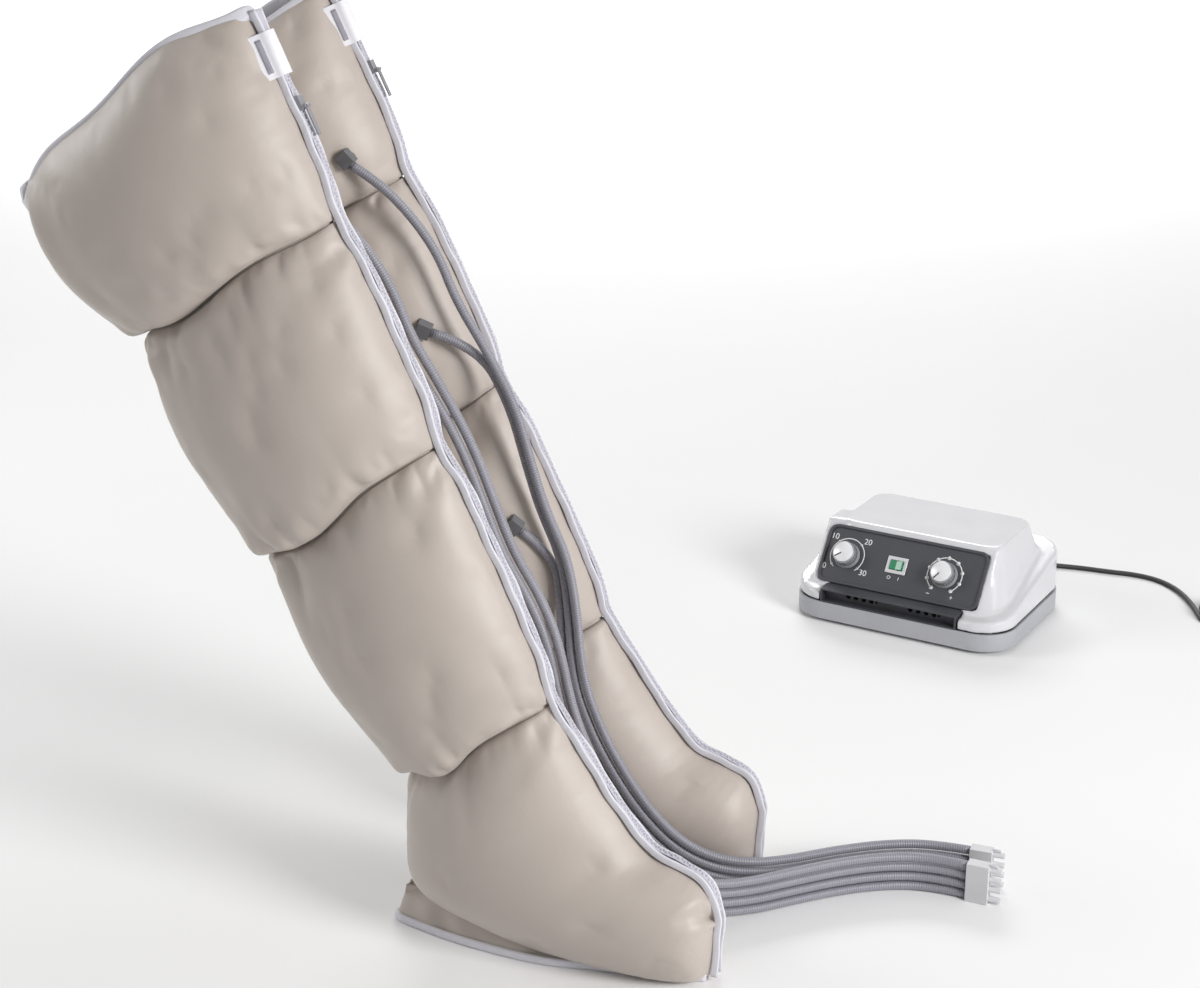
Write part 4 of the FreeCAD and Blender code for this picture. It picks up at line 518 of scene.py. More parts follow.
for name, boot in boots.items():
    rows = ribbonRows(name)
    for k, part in enumerate(("thigh", "knee", "calf", "foot")):
        lane = toWorld([place + step * k for place, step in rows[hoses["joins"][k]:]], boot)
        start = np.array(hoses["exits"][name][k]) / 1000
        line = routeLine([start, *lane])
        hose = addPiece(f"{name}-{part}-hose", tube(line, hoses["diameter"] / 2000), "hose_vinyl",
                        (f"{name}_{part}_hose",))


def coilSpot(turn, centre, first, radiusShare=1.0):
    # in over the lower layer, up in half a turn, and out again on top
    middle = lead["coilTurns"] + 0.25
    radius = (lead["coilRadius"] - lead["coilPitch"] * (middle - abs(turn - middle))) * radiusShare
    climb = min(max((turn - lead["coilTurns"]) / 0.5, 0.0), 1.0)
    angle = first + 2 * math.pi * turn
    return centre + np.array([radius * math.cos(angle), radius * math.sin(angle),
                              lead["coilPitch"] * climb * climb * (3 - 2 * climb)])


leadPoints = [np.array(spot, float) for spot in lead["route"]]
heading = unit(leadPoints[-1] - leadPoints[-2])
sideways = np.array([-heading[1], heading[0], 0.0])
coilStart = leadPoints[-1] + heading * lead["diameter"]
coilCentre = coilStart + sideways * lead["coilRadius"]
firstAngle = math.atan2(-sideways[1], -sideways[0])
wholeTurns = 2 * lead["coilTurns"] + 0.5
perTurn = 16
share = 1 / math.cos(math.pi / perTurn)  # control points lie outside the round that they make
coilPoints = [coilSpot((i + 0.5) / perTurn, coilCentre, firstAngle, share)
              for i in range(int(wholeTurns * perTurn))]
endSpot = coilSpot(wholeTurns, coilCentre, firstAngle)
endWay = endSpot - coilSpot(wholeTurns - 1e-4, coilCentre, firstAngle)
endWay[2] = 0.0
leadPoints += [coilStart, *coilPoints, endSpot, endSpot + unit(endWay) * lead["tail"]]
placed = [np.array(consoleMatrix() @ Vector(spot / 1000)) for spot in leadPoints]
leadLine = routeLine(placed)
mainsLead = addPiece("mains-lead", tube(leadLine, lead["diameter"] / 2000, 12), "lead_vinyl",
                     ("mains_lead", "mains_coil"))
print("cords made")


# boots: each chamber is a ring of outer skin and lining, swollen once and used for both legs

turns = np.linspace(0, 2 * math.pi, leg["columns"] + 1)


def ringRow(section, wall=0.0, frontPower=None):
    up, width, half, tilt = section
    back = np.array([-math.cos(math.radians(tilt)), 0.0, -math.sin(math.radians(tilt))])
    c, s = np.cos(turns), np.sin(turns)
    along = width / 2 - (width / 2 - wall) * c
    powers = np.where(c > 0, frontPower or leg["frontPowers"][0], leg["backPower"])
    across = (half - wall) * np.sign(s) * np.abs(s) ** powers
    return seamPoint(up, seamBow(up)) + along[:, None] * back + across[:, None] * np.array([0.0, 1.0, 0.0])


def between(low, high, share):
    return tuple(a + (b - a) * share for a, b in zip(low, high))


def creaseWave(k):
    # how far a crease strays along the leg, the same for the chambers on both sides of it
    random = np.random.default_rng(40 + k)
    wave = sum(random.uniform(0.5, 1.0) / count ** 0.5 * np.sin(count * turns + random.uniform(0, 6.28))
               for count in (2, 3, 5, 8))
    sag = np.exp(-(((1 - np.cos(turns)) / 2 - 0.68) / 0.22) ** 2)
    return puckers["crease"] * wave * np.sin(turns / 2) ** 0.5 - puckers["sags"][k - 1] * sag


def pucker(places, distances, seed):
    # gathered cloth beside a crease: rounded ridges with sharp valleys, the wider ones reaching further
    random = np.random.default_rng(seed)
    arcs = running(stepsOf(places[len(places) // 2], 0))
    turnShare = arcs / arcs[-1] * 2 * math.pi
    lift = np.zeros(places.shape[:2])
    for length in puckers["wavelengths"]:
        count = max(2, round(arcs[-1] / length))
        drift = 0.8 * np.sin(random.integers(3, 7) * turnShare + random.uniform(0, 6.28))
        ridge = np.abs(np.sin(count * turnShare / 2 + drift + random.uniform(0, 6.28))) ** 0.8 - 0.6
        cluster = (0.5 + 0.5 * np.sin(random.integers(2, 6) * turnShare + random.uniform(0, 6.28))) ** 1.5
        fall = np.exp(-distances / (length * puckers["reach"])) * (1 - np.exp(-distances / puckers["start"]))
        lift += length * puckers["share"] * (ridge * (0.2 + 0.8 * cluster))[None, :] * fall[:, None]
    return lift * np.abs(np.sin(turnShare / 2))[None, :] ** 0.25


def foldLift(places, lines):
    # soft folds along lines drawn on the unrolled chamber
    girth = stepsOf(places, 1).sum(axis=1).mean()
    around = np.linspace(0, 1, places.shape[1]) * girth
    down = running(stepsOf(places, 0).mean(axis=1))
    spots = np.stack(np.meshgrid(around, down), axis=2)
    lift = np.zeros(places.shape[:2])
    for a1, b1, a2, b2, depth, width in lines:
        first = np.array([a1 * around[-1], b1 * down[-1]])
        run = np.array([a2 * around[-1], b2 * down[-1]]) - first
        share = np.clip(((spots - first) @ run) / run.dot(run), 0, 1)
        away = np.linalg.norm(spots - first - share[..., None] * run, axis=2) / width
        lift += depth * (1 - 0.6 * share) * (0.4 * np.exp(-(away - 1.8) ** 2) - np.exp(-away ** 1.3))
    return lift


def gridNormals(places):
    along = np.gradient(places, axis=0)
    across = np.gradient(places, axis=1)
    across[:, 0] = across[:, -1] = (places[:, 1] - places[:, -2]) / 2
    normals = np.cross(across, along)
    outward = (normals * (places - places.mean(axis=1, keepdims=True))).sum(axis=2).mean()
    return np.sign(outward) * normals / np.maximum(np.linalg.norm(normals, axis=2), 1e-9)[..., None]


def settle(piece, held):
    # cloth simulation: air inside, cloth a little too large for its seams, seams and lining held
    scene = bpy.context.scene
    start = np.array([vert.co[:] for vert in piece.data.vertices])
    piece.data.transform(Matrix.Scale(cloth["scale"], 4))
    group = piece.vertex_groups.new(name="held")
    group.add(held, 1.0, "REPLACE")
    modifier = piece.modifiers.new("swell", "CLOTH")
    for name, value in cloth["settings"].items():
        setattr(modifier.settings, name, value)
    modifier.settings.effector_weights.gravity = 0.0
    modifier.collision_settings.use_collision = False
    modifier.point_cache.frame_start = 1
    modifier.point_cache.frame_end = cloth["frames"]
    for number in range(1, cloth["frames"] + 1):
        scene.frame_set(number)
    swollen = piece.evaluated_get(bpy.context.evaluated_depsgraph_get())
    ends = np.array([vert.co[:] for vert in swollen.data.vertices]) / cloth["scale"]
    scene.frame_set(1)
    piece.modifiers.remove(modifier)
    moves = ends - start
    sizes = np.linalg.norm(moves, axis=1)
    limit = cloth["limit"] / 1000
    moves *= (limit * np.tanh(sizes / limit) / np.maximum(sizes, 1e-9))[:, None]
    print("settled", piece.name, "by", round(float(sizes.mean()) * 1000, 2), "mm on average")
    piece.data.vertices.foreach_set("co", (start + moves).astype(np.float32).ravel())
    piece.vertex_groups.clear()


def bootMatrix(boot):
    x, y = boot["place"]
    turn = Matrix.Rotation(math.radians(boot["yaw"]), 4, "Z")
    return Matrix.Translation((x / 1000, y / 1000, 0)) @ turn @ Matrix.Diagonal((1.0, boot["side"], 1.0, 1.0))


def placePair(label, mesh, slotName, nodeName=None, materialName=None):
    # the same piece on both legs, mirrored for the left one
    pair = []
    for name, boot in boots.items():
        copy = mesh.copy()
        copy.name = f"{name}-{label}"
        copy.transform(bootMatrix(boot))
        if boot["side"] < 0:
            copy.flip_normals()
        piece = added(copy.name, copy)
        dress(piece, slotName, materialName)
        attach(piece, "set")
        if nodeName:
            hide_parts(f"{name}_{nodeName}")
        pair.append(piece)
    return pair


def trimPair(label, bm, *names):
    placePair(label, meshOf(label, bm), *names)


def swellPiece(label, places, uvs, outerRows, heldRows, heldColumns):
    # a closed ring of cloth, its outer rows free to swell between the held ones
    mesh = meshOf(label, mappedGrid(places / 1000, uvs))
    piece = added(label, mesh)
    free = np.zeros(places.shape[:2], bool)
    free[:outerRows] = True
    free[heldRows] = False
    free[:, heldColumns] = False
    free &= places[..., 2] > foot["floor"] + 0.5
    loose = {tuple(np.round(spot, 3)) for spot in places[free]}
    held = [vert.index for vert in mesh.vertices
            if tuple(np.round(np.array(vert.co) * 1000, 3)) not in loose]
    settle(piece, held)
    mesh = piece.data
    bpy.data.objects.remove(piece)
    return mesh


def hemWave():
    outer = np.clip(-np.sin(turns), 0, None)
    inner = np.clip(np.sin(turns), 0, None)
    back = np.sin(turns / 2) ** 8
    rise = hem["rise"] * outer ** 0.8 * (1 + hem["scallop"] * np.sin(5 * turns + 0.6))
    drop = hem["backDrop"] * outer ** 0.35 - hem["innerRise"] * inner ** 0.5 + hem["backSag"]
    return rise - drop * back


def hemReach():
    return hem["innerReach"] * np.clip(np.sin(turns), 0, None) ** 0.6 * np.sin(turns / 2) ** 12


def hemShift(share):
    # the top edge's own shape, fading out down the thigh
    tilt = math.radians(leg["hem"][3])
    back = np.array([-math.cos(tilt), 0.0, -math.sin(tilt)])
    fade = max(0.0, 1 - share) ** 3
    return fade * (hemWave()[:, None] * (seamPoint(1.0) - seamPoint(0.0)) + hemReach()[:, None] * back)


def chamberGrid(k):
    upper = leg["stations"][k] if k else leg["hem"]
    lower = leg["stations"][k + 1]
    crown = leg["crowns"][k]
    shares = 0.5 - 0.5 * np.cos(np.pi * np.linspace(0, 1, leg["rows"] + 1))
    upWay = seamPoint(1.0) - seamPoint(0.0)
    rows = []
    waves = (creaseWave(k) if k else np.zeros(len(turns)), creaseWave(k + 1))
    for share in shares:
        section = between(upper, lower, share)
        bulge = math.sin(math.pi * share) if 0 < share < 1 else 0.0
        half = int(share > 0.5)
        swell = bulge ** leg["swellPowers"][half]
        edge = bulge ** leg["edgePowers"][half]
        full = crown[0] - crown[1] * share ** crown[2] + crown[3] * bulge
        width = section[1] + (full - section[1]) * edge
        thick = section[2] + (crown[4] - section[2]) * swell
        front = leg["frontPowers"][0] + (leg["frontPowers"][1] - leg["frontPowers"][0]) * swell
        gap = puckers["gap"] * (math.exp(-(1 - share) * 30) - (math.exp(-share * 30) if k else 0.0))
        wave = waves[0] * math.exp(-share * 7) + waves[1] * math.exp(-(1 - share) * 7) + gap
        row = ringRow((section[0], width, thick, section[3]), 0.0, front) + wave[:, None] * upWay
        rows.append(row if k else row + hemShift(share))
    outer = np.array(rows)
    down = shares * (upper[0] - lower[0])
    lift = pucker(outer, down, 7 + 2 * k) * (1.0 if k else 0.25) + pucker(outer, down[-1] - down, 8 + 2 * k)
    lift += foldLift(outer, folds[("thigh", "knee", "calf")[k]])
    lift *= np.minimum(1.0, np.minimum(down, down[-1] - down) / 6.0)[:, None]
    outer = outer + gridNormals(outer) * lift[..., None]
    walls = np.linspace(leg["wall"], leg["wall"] if k else leg["hemWall"], 9)
    lining = []
    for share, wall in zip(np.linspace(0.98, 0.02 if k else 0.0, 9), walls):
        row = ringRow(between(upper, lower, share), wall)
        lining.append(row if k else row + hemShift(share))
    places = np.concatenate([outer, np.array(lining), outer[:1]])
    places[:, -1] = places[:, 0]
    return places, len(outer), [0, len(outer) - 1] if k else [0, 1, 2, len(outer) - 1]


def footGrid():
    ankle = leg["stations"][-1]
    tilt = math.radians(ankle[3])
    top = seamPoint(ankle[0], seamBow(ankle[0]))
    bottom = top - ankle[1] * np.array([math.cos(tilt), 0.0, math.sin(tilt)])
    controls = [(top[0], top[2], bottom[0], bottom[2], ankle[2], 1.0)]
    for spots in zip(foot["tops"], foot["bottoms"], foot["halves"], foot["bottomPowers"]):
        controls.append((*spots[0], *spots[1], spots[2], spots[3]))
    rows = splineSpots(np.array(controls), np.linspace(0, len(controls) - 1, foot["rows"] + 1))

    def ring(values, wall=0.0, front=1.15):
        tx, tz, bx, bz, half, power = values
        high, low = np.array([tx, 0.0, tz]), np.array([bx, 0.0, bz])
        reach = np.linalg.norm(high - low) / 2
        ahead = (high - low) / (2 * reach)
        c, s = np.cos(turns), np.sin(turns)
        across = max(half - wall, 0.5) * np.sign(s) * np.abs(s) ** np.where(c > 0, front, power)
        spots = (high + low) / 2 + (max(reach - wall, 1.0) * c)[:, None] * ahead
        spots[:, 1] = across
        spots[:, 2] = np.maximum(spots[:, 2], foot["floor"] + (0.4 if wall else 0.0))
        return spots

    outer = np.array([ring(values) for values in rows])
    upWay = seamPoint(1.0) - seamPoint(0.0)
    outer[0] -= puckers["gap"] * upWay
    distances = running(stepsOf(outer, 0).mean(axis=1))
    outer += (np.exp(-distances / 40)[:, None] * creaseWave(3)[None, :])[..., None] * upWay
    lift = (pucker(outer, distances, 21) + foldLift(outer, folds["foot"])) * np.clip(outer[..., 2] / 40, 0, 1)
    outer += gridNormals(outer) * lift[..., None]
    outer[..., 2] = np.maximum(outer[..., 2], foot["floor"])
    lining = np.array([ring(rows[i], foot["wall"] if i else leg["wall"])
                       for i in range(0, int(foot["rows"] * foot["liningShare"]), 5)])
    places = np.concatenate([outer[::-1], lining])
    places[:, -1] = places[:, 0]
    return places, len(outer), [0, 1, len(outer) - 1]


chambers = {}
seamColumns = [0, 1, leg["columns"] - 1, leg["columns"]]
for k, part in enumerate(("thigh", "knee", "calf", "foot")):
    places, outerRows, heldRows = chamberGrid(k) if part != "foot" else footGrid()
    mesh = swellPiece(f"{part} chamber", places, measuredUvs(places), outerRows, heldRows, seamColumns)
    chambers[part] = placePair(f"{part}-chamber", mesh, "boot_fabric", f"{part}_chamber")
    for piece in chambers[part]:
        rounding = piece.modifiers.new("rounding", "SUBSURF")
        rounding.levels = rounding.render_levels = 1
print("chambers made")


# trim: welds in the creases, bound edges, sole margin, zip, top binding and folded tab

seamUp = seamPoint(1.0) - seamPoint(0.0)
frontLine = smoothPath([seamPoint(up, seamBow(up)) for up in np.linspace(leg["hem"][0], 0.0, 34)]
                       + [np.array([x, 0.0, z]) for x, z in foot["seam"]], 300)
frontOut = outwards(frontLine)

weld = {"inset": 6.0, "thick": 4.0, "height": 10.0}
weldProfile = [(a * weld["thick"], b * weld["height"])
               for a, b in ((-0.5, -0.5), (0.5, -0.5), (0.5, 0.5), (-0.5, 0.5))]
welds = []
for k in (1, 2, 3):
    line = (ringRow(leg["stations"][k], weld["inset"]) + creaseWave(k)[:, None] * seamUp)[:-1]
    welds.append(swept(line, weldProfile, [seamUp] * len(line), True))
trimPair("weld-bands", joined(*welds), "boot_fabric")

# profiles are width, height and corner
binding = {"profile": (3.2, 7.0, 1.4), "out": 3.5, "side": 5.2, "strays": (0.5, 0.45)}
sole = {
    "edge": ((147, 8), (99, 17), (43, 25), (-12, 33), (-87, 27), (-140, 15), (-166, 6)),  # x and half width
    "profile": (5.0, 8.0, 2.2),
    "rise": 4.2,
    "toeHeight": 5.0,
    "heelHeight": 34.0,  # what the margin gains towards the heel
    "heelRun": (70.0, 230.0),  # where it starts to rise and over which length
    "margin": (1.0, 4.0, 9.0),  # inset all round, at the top, and more at the heel
    "fold": 1.1,
    "wall": 1.5,
    "plate": (1.2, 0.4, 1.6),  # inset, height above the floor and thickness
}
bindings = []
for sign in (-1, 1):
    out = binding["out"] + ripple(len(frontLine), binding["strays"][0], 3 + sign)
    line = frontLine + frontOut * out[:, None]
    line[:, 1] += sign * (binding["side"] + ripple(len(frontLine), binding["strays"][1], 9 + sign))
    bindings.append(swept(line, roundedProfile(*binding["profile"]), frontOut))
soleSides = [[(x, sign * m, 0.0) for x, m in sole["edge"]] for sign in (-1, 1)]
soleLine = smoothPath(soleSides[0] + soleSides[1][::-1], 150)
soleEdge = soleLine + np.array([0.0, 0.0, sole["rise"]])
bindings.append(swept(soleEdge, roundedProfile(*sole["profile"]), [(0.0, 0.0, 1.0)] * len(soleEdge)))
trimPair("edge-binding", joined(*bindings), "boot_binding", "edge_binding")

soleAhead = np.gradient(soleLine, axis=0)
soleOut = unit(np.stack([soleAhead[:, 1], -soleAhead[:, 0], np.zeros(len(soleLine))], axis=1))
soleOut *= np.sign((soleOut * soleLine).sum())
heelShare = np.clip((sole["heelRun"][0] - soleLine[:, 0]) / sole["heelRun"][1], 0.0, 1.0)
skirtHeight = sole["toeHeight"] + sole["heelHeight"] * heelShare ** 1.3
skirtRows = []
for level in np.linspace(0, 1, 9):
    inset = sole["margin"][0] + (sole["margin"][1] + sole["margin"][2] * heelShare) * level ** 1.6
    fold = ripple(len(soleLine), sole["fold"], 31, (7, 13, 19)) * math.sin(math.pi * level)
    row = soleLine + soleOut * (fold - inset)[:, None]
    row[:, 2] = sole["margin"][0] + skirtHeight * level
    skirtRows.append(row)
skirtInside = [row - soleOut * sole["wall"] for row in skirtRows[::-1]]
skirt = np.array(skirtRows + skirtInside + skirtRows[:1]) / 1000
plateInset, plateRise, plateThick = sole["plate"]
plateRim = soleLine - soleOut * plateInset + np.array([0.0, 0.0, plateRise])
plate = bmesh.new()
plate.faces.new([plate.verts.new(spot / 1000) for spot in plateRim])
raised = bmesh.ops.extrude_face_region(plate, geom=plate.faces[:])["geom"]
bmesh.ops.translate(plate, verts=[item for item in raised if isinstance(item, bmesh.types.BMVert)],
                    vec=(0, 0, plateThick / 1000))
bmesh.ops.recalc_face_normals(plate, faces=plate.faces)
skirtBm = mappedGrid(skirt, measuredUvs(skirt))
trimPair("sole-margin", joined(skirtBm, plate), "boot_fabric", "sole_margin")

# folded tab: half of its fold, from the free edge: out from the seam and ahead of it
tab = {"drop": 20.0, "length": 40.0, "thick": 1.6, "corner": 0.7,
       "fold": ((15.0, -8.0), (11.6, -2.5), (8.6, 3.0), (7.6, 7.0), (5.6, 9.6), (2.0, 10.4)),
       "stripe": (5.0, 1.0, 0.45), "stripePlace": (11.4, 0.5), "stripeLength": 30.0}
zipper = {"endRows": 20, "tape": (7.6, 1.2, 0.5), "tapeOut": 6.6, "web": (4.0, 6.4, 0.6), "webOut": 3.2,
          "tooth": (1.7, 2.8, 2.0), "toothOut": 7.2, "toothSide": 0.9, "pitch": 3.0}
tapeLine = frontLine[:-zipper["endRows"]]  # the tape ends above the sole
tapeOut = frontOut[:-zipper["endRows"]]
zipParts = [swept(tapeLine + tapeOut * zipper[f"{part}Out"], roundedProfile(*zipper[part], 2), tapeOut)
            for part in ("tape", "web")]
lengths = running(stepsOf(tapeLine, 0))
teeth = bmesh.new()
firstTooth = tab["drop"] + tab["length"]  # none under the tab
for number in range(int((lengths[-1] - firstTooth) / zipper["pitch"])):
    place = firstTooth + number * zipper["pitch"]
    spot = np.array([np.interp(place, lengths, tapeLine[:, k]) for k in range(3)])
    out = unit(np.array([np.interp(place, lengths, tapeOut[:, k]) for k in range(3)]))
    turn = Matrix(((out[2], 0.0, -out[0]), (0, 1, 0), out)).transposed().to_4x4()
    sign = 1 if number % 2 else -1
    spot = spot + out * zipper["toothOut"] + np.array([0, sign * zipper["toothSide"], 0])
    size = Matrix.Diagonal((*zipper["tooth"], 1.0))
    bmesh.ops.create_cube(teeth, size=0.001, matrix=Matrix.Translation(Vector(spot) / 1000) @ turn @ size)
trimPair("zip-tape", joined(*zipParts, teeth), "zip_fabric", "zip_tape")

rim = {"profile": (8.0, 13.5, 3.4), "drop": 2.6}
rimLine = (ringRow(leg["hem"], leg["hemWall"] / 2) + hemShift(0.0))[:-1]
hemTilt = math.radians(leg["hem"][3])
hemUp = np.array([-math.sin(hemTilt), 0.0, math.cos(hemTilt)])
rimBm = swept(rimLine - hemUp * rim["drop"], roundedProfile(*rim["profile"]), [hemUp] * len(rimLine), True)
trimPair("top-binding", rimBm, "boot_binding", "top_binding")

tabUp = leg["hem"][0] - tab["drop"] - tab["length"] / 2
tabAhead = seamBow(tabUp)
tabPath = [(-m, ahead) for m, ahead in tab["fold"]] + list(tab["fold"][::-1])
tabLine = smoothPath([seamPoint(tabUp, ahead + tabAhead, m) for m, ahead in tabPath], 40)
tabBm = swept(tabLine, roundedProfile(tab["thick"], tab["length"], tab["corner"], 3), [seamUp] * len(tabLine))
trimPair("top-tab", tabBm, "tab_fabric", "top_tab")
stripes = []
for sign in (-1, 1):
    out, ahead = tab["stripePlace"]
    ends = [seamPoint(tabUp + share * tab["stripeLength"], ahead + tabAhead, sign * out)
            for share in np.linspace(-0.5, 0.5, 4)]
    facing = seamPoint(0.0, 0.5, sign * 0.87) - seamPoint(0.0)  # the fold's slope there
    stripes.append(swept(smoothPath(ends, 12), roundedProfile(*tab["stripe"], 2), [facing] * 12))
trimPair("tab-stripe", joined(*stripes), "tab_fabric", "top_tab", "tab_stripe")
print("trim made")


# control unit: CAD shapes with softened edges

casing = {"edge": 0.6, "zipEdge": 0.35, "voxel": 1.9, "rounds": 18}


def soften(name, width):
    node = cadNodes[name]
    merge = node.modifiers.new("weld", "WELD")
    merge.merge_threshold = 1e-5
    bevel = node.modifiers.new("edges", "BEVEL")
    bevel.width = width / 1000
    bevel.segments = 2
    bevel.limit_method = "ANGLE"
    bevel.angle_limit = math.radians(40)
    bevel.harden_normals = True
    return node


def remeshed(name, label, slotName):
    # a copy with all its edges rounded off
    copy = cadNodes[name].data.copy()
    bm = bmesh.new()
    bm.from_mesh(copy)
    bmesh.ops.remove_doubles(bm, verts=bm.verts, dist=1e-5)
    bm.to_mesh(copy)
    bm.free()
    thing = added(label, copy)
    remesh = thing.modifiers.new("remesh", "REMESH")
    remesh.mode = "VOXEL"
    remesh.voxel_size = casing["voxel"] / 1000
    smooth = thing.modifiers.new("smooth", "SMOOTH")
    smooth.factor = 0.5
    smooth.iterations = casing["rounds"]
    result = bpy.data.meshes.new_from_object(thing.evaluated_get(bpy.context.evaluated_depsgraph_get()))
    bpy.data.objects.remove(thing)
    bm = bmesh.new()
    bm.from_mesh(result)
    bpy.data.meshes.remove(result)
    return addPiece(label, bm, slotName, (name,))


for node in frame["record"]["subparts"]:
    dress(cadNodes[node["node"]], node["material_slot"])
for name in ("lower_casing", "socket_block", "control_panel", "switch_body", "power_rocker", "strain_relief",
             "mains_plug", "plug_pins", "coil_tie", "rubber_feet"):
    soften(name, casing["edge"])
for name in boots:
    for part, width in (("hose_plug", "edge"), ("hose_fittings", "edge"), ("zip_slider", "zipEdge"),
                        ("zip_pull", "zipEdge")):
        soften(f"{name}_{part}", casing[width])
upper = remeshed("upper_casing", "upper-casing", "casing_white")


# dials, marks and knob caps on the panel

panel = {"slope": 36.0, "thick": 0.25, "ring": 22.5, "ringWidth": 1.4, "timerDot": 3.4, "pressureDot": 5.0,
         "figure": 7.6, "figureSpread": (33.5, 30.0), "timerZero": 218.0, "timerStep": 85.3,
         "pressureZero": 235.0, "pressureStep": 36.25, "sign": (4.2, 1.0), "signPlace": (15.5, -26.5),
         "switchMark": 4.6, "switchMarkPlace": (6.5, -17.0)}
knob = {"capRadius": 13.2, "capEdge": 0.9, "capHeight": 0.8, "pointer": (9.5, 1.6, 0.5), "pointerOut": 7.2,
        "pointerRise": 0.1}
slope = math.radians(panel["slope"])
turnPanel = Matrix.Rotation(math.radians(console["yaw"]), 4, "Z")
panelOut = (turnPanel @ Vector((0, -math.cos(slope), math.sin(slope)))).normalized()
panelRight = (turnPanel @ Vector((1, 0, 0))).normalized()
panelUp = panelOut.cross(panelRight)
panelSpots = [vert.co for vert in cadNodes["control_panel"].data.vertices]
panelFace = max(spot.dot(panelOut) for spot in panelSpots)
pivots = {joint["name"].split("_")[0]: Vector(joint["pos_m"])
          for joint in frame["joints"] if "pos_m" in joint}


def onPanel(centre, right, up, out=0.0):
    # a place on the panel's face, in mm from a pivot
    spot = pivots[centre] + panelOut * (panelFace - pivots[centre].dot(panelOut))
    return spot + panelRight * (right / 1000) + panelUp * (up / 1000) + panelOut * (out / 1000)


def panelMatrix(centre, right=0.0, up=0.0, out=0.0, turn=0.0):
    basis = Matrix((panelRight, panelUp, panelOut)).transposed().to_4x4()
    place = Matrix.Translation(onPanel(centre, right, up, out))
    return place @ basis @ Matrix.Rotation(math.radians(turn), 4, "Z")


def ringPart(centre, zero, sweepAngle):
    # part of a ring, clockwise from where the dial starts
    bm = bmesh.new()
    angle = math.radians(zero)
    corners = []
    for side, level in ((-0.5, 0), (0.5, 0), (0.5, 1), (-0.5, 1)):
        radius = panel["ring"] + side * panel["ringWidth"]
        spot = onPanel(centre, radius * math.cos(angle), radius * math.sin(angle), level * panel["thick"])
        corners.append(bm.verts.new(spot))
    face = bm.faces.new(corners)
    bmesh.ops.spin(bm, geom=[face, *face.edges, *face.verts], cent=onPanel(centre, 0, 0), axis=panelOut,
                   angle=-math.radians(sweepAngle), steps=int(sweepAngle / 4), use_merge=False)
    return closeUp(bm)


def dot(centre, angle, radius, size):
    bm = bmesh.new()
    angle = math.radians(angle)
    place = panelMatrix(centre, radius * math.cos(angle), radius * math.sin(angle), panel["thick"] / 2)
    bmesh.ops.create_cone(bm, cap_ends=True, segments=16, radius1=size / 2000, radius2=size / 2000,
                          depth=panel["thick"] / 1000, matrix=place)
    return bm


def bar(centre, right, up, width, height):
    bm = bmesh.new()
    size = Matrix.Diagonal((width, height, panel["thick"], 1.0))
    bmesh.ops.create_cube(bm, size=0.001, matrix=panelMatrix(centre, right, up, panel["thick"] / 2) @ size)
    return bm


def figure(centre, right, up, words, height):
    curve = bpy.data.curves.new("figure", "FONT")
    curve.body = words
    curve.align_x = "CENTER"
    curve.align_y = "CENTER"
    curve.size = height / 1000 * 1.4
    curve.extrude = panel["thick"] / 2000
    mesh = curveMesh(curve)
    mesh.transform(panelMatrix(centre, right, up, panel["thick"] / 2))
    bm = bmesh.new()
    bm.from_mesh(mesh)
    bpy.data.meshes.remove(mesh)
    return bm


overrun = 12.0  # the timer's ring goes on past its end marks
lastAngle = 3 * panel["timerStep"]
prints = [ringPart("timer", panel["timerZero"] + overrun, lastAngle + 2 * overrun)]
for step, words in enumerate(("0", "10", "20", "30")):
    angle = panel["timerZero"] - step * panel["timerStep"]
    right = panel["figureSpread"][0] * math.cos(math.radians(angle))
    up = panel["figureSpread"][1] * math.sin(math.radians(angle))
    prints.append(dot("timer", angle, panel["ring"], panel["timerDot"]))
    prints.append(figure("timer", right, up, words, panel["figure"]))
for step in range(9):
    angle = panel["pressureZero"] - step * panel["pressureStep"]
    prints.append(dot("pressure", angle, panel["ring"], panel["pressureDot"]))
prints.append(ringPart("pressure", panel["pressureZero"], 8 * panel["pressureStep"]))
right, up = panel["signPlace"]
long, short = panel["sign"]
prints.append(bar("pressure", -right, up, long, short))
prints.append(bar("pressure", right, up, long, short))
prints.append(bar("pressure", right, up, short, long))
right, up = panel["switchMarkPlace"]
prints.append(figure("power", -right, up, "O", panel["switchMark"]))
prints.append(figure("power", right, up, "I", panel["switchMark"]))
addPiece("panel-print", joined(*prints), "panel_charcoal", materialName="print_white")

gasket = {"width": 213.0, "height": 73.0, "corner": 11.0, "profile": (4.0, 5.0, 0.9)}
centre = panelOut * panelFace
for way in (panelRight, panelUp):
    reach = [spot.dot(way) for spot in panelSpots]
    centre = centre + way * (min(reach) + max(reach)) / 2
gasketLine = [np.array(centre * 1000 + panelRight * right + panelUp * up)
              for right, up in roundedProfile(gasket["width"], gasket["height"], gasket["corner"], 8)]
gasketBm = swept(gasketLine, roundedProfile(*gasket["profile"]), [np.array(panelOut)] * len(gasketLine), True)
addPiece("panel-gasket", gasketBm, "panel_charcoal")

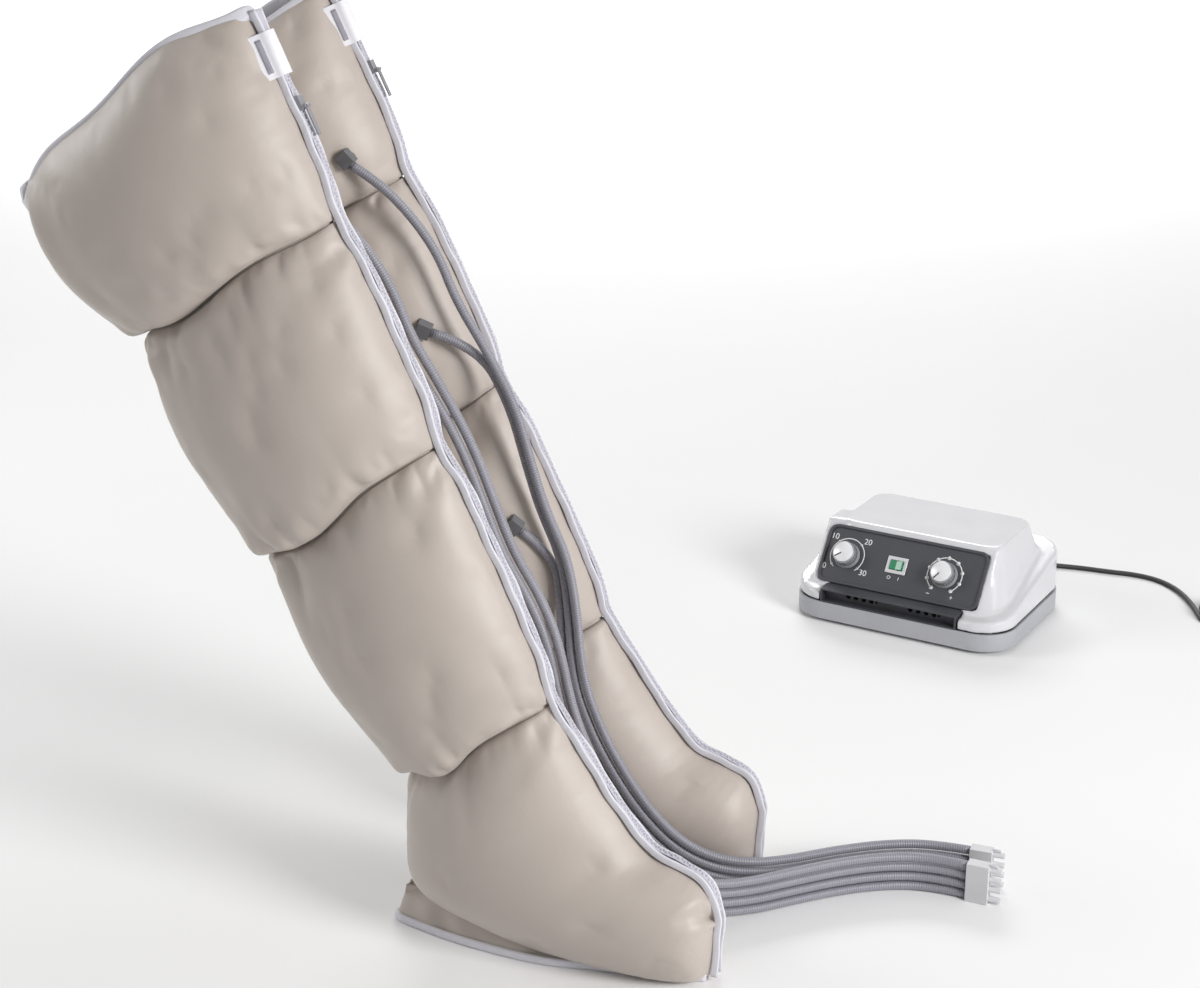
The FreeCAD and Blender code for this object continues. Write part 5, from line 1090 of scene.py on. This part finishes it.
for name in ("timer", "pressure"):
    rise = (max(vert.co.dot(panelOut) for vert in cadNodes[f"{name}_knob"].data.vertices) - panelFace) * 1000
    cap = bmesh.new()
    bmesh.ops.create_cone(cap, cap_ends=True, segments=64, radius1=knob["capRadius"] / 1000,
                          radius2=(knob["capRadius"] - knob["capEdge"]) / 1000,
                          depth=knob["capHeight"] / 1000,
                          matrix=panelMatrix(name, 0, 0, rise + knob["capHeight"] / 2))
    addPiece(f"{name}-cap", cap, "knob_plastic", body=f"{name}_knob", materialName="knob_cap")
    pointer = bmesh.new()
    place = panelMatrix(name, 0, 0, rise + knob["capHeight"] + knob["pointerRise"], panel[f"{name}Zero"])
    place = place @ Matrix.Translation((knob["pointerOut"] / 1000, 0, 0))
    bmesh.ops.create_cube(pointer, size=0.001, matrix=place @ Matrix.Diagonal((*knob["pointer"], 1.0)))
    addPiece(f"{name}-pointer", pointer, "knob_plastic", body=f"{name}_knob", materialName="panel_charcoal")
print("control unit made", len(upper.data.polygons))


# studio

def areaLight(name, place, target, size, power):
    lamp = bpy.data.lights.new(name, "AREA")
    lamp.shape = "DISK"
    lamp.size = size
    lamp.energy = power
    thing = added(name, lamp)
    thing.location = place
    thing.rotation_euler = (Vector(target) - Vector(place)).to_track_quat("-Z", "Y").to_euler()


# place, target, size and power; the key grazes the boots from the right, the rim lights their backs
lamps = {
    "key": ((2.9, -1.3, 1.6), (0.0, -0.45, 0.42), 1.3, 88.0),
    "rim": ((-2.3, -0.5, 1.4), (-0.1, -0.45, 0.45), 1.2, 20.0),
    "top": ((0.2, 0.9, 3.2), (0.1, 0.6, 0.0), 2.2, 10.0),
    "backdrop": ((-2.2, 6.0, 4.0), (-2.6, 6.6, 0.0), 5.0, 420.0),
}
studio = {"floorSize": 14.0, "fill": 0.25}
for name, settings in lamps.items():
    areaLight(name, *settings)

floorMaterial, tree = newMaterial("studio floor")
spot = addNode(tree, "ShaderNodeTexCoord").outputs["Object"]
finishMaterial(tree, {"Base Color": mottled(tree, spot, "F4F4F4", "F7F7F7", 400.0), "Roughness": 0.7})
floorBm = bmesh.new()
bmesh.ops.create_grid(floorBm, x_segments=1, y_segments=1, size=studio["floorSize"])
floor = added("studio floor", meshOf("studio floor", floorBm))
floor.data.materials.append(floorMaterial)

world = bpy.data.worlds.new("studio")
bpy.context.scene.world = world
world.use_nodes = True
tree = world.node_tree
tree.nodes.clear()
paths = addNode(tree, "ShaderNodeLightPath")
seen = paths.outputs["Is Camera Ray"]
for word in ("Is Glossy Ray", "Is Transmission Ray"):
    seen = addNode(tree, "ShaderNodeMath", {0: seen, 1: paths.outputs[word]}, operation="MAXIMUM").outputs[0]
strength = addNode(tree, "ShaderNodeMapRange", {"Value": seen, "To Min": studio["fill"], "To Max": 1.0})
backdrop = addNode(tree, "ShaderNodeBackground", {"Color": hexColour("FFFFFF"),
                                                  "Strength": strength.outputs[0]})
addNode(tree, "ShaderNodeOutputWorld", {"Surface": backdrop.outputs[0]})
bpy.context.scene.view_settings.view_transform = "Standard"
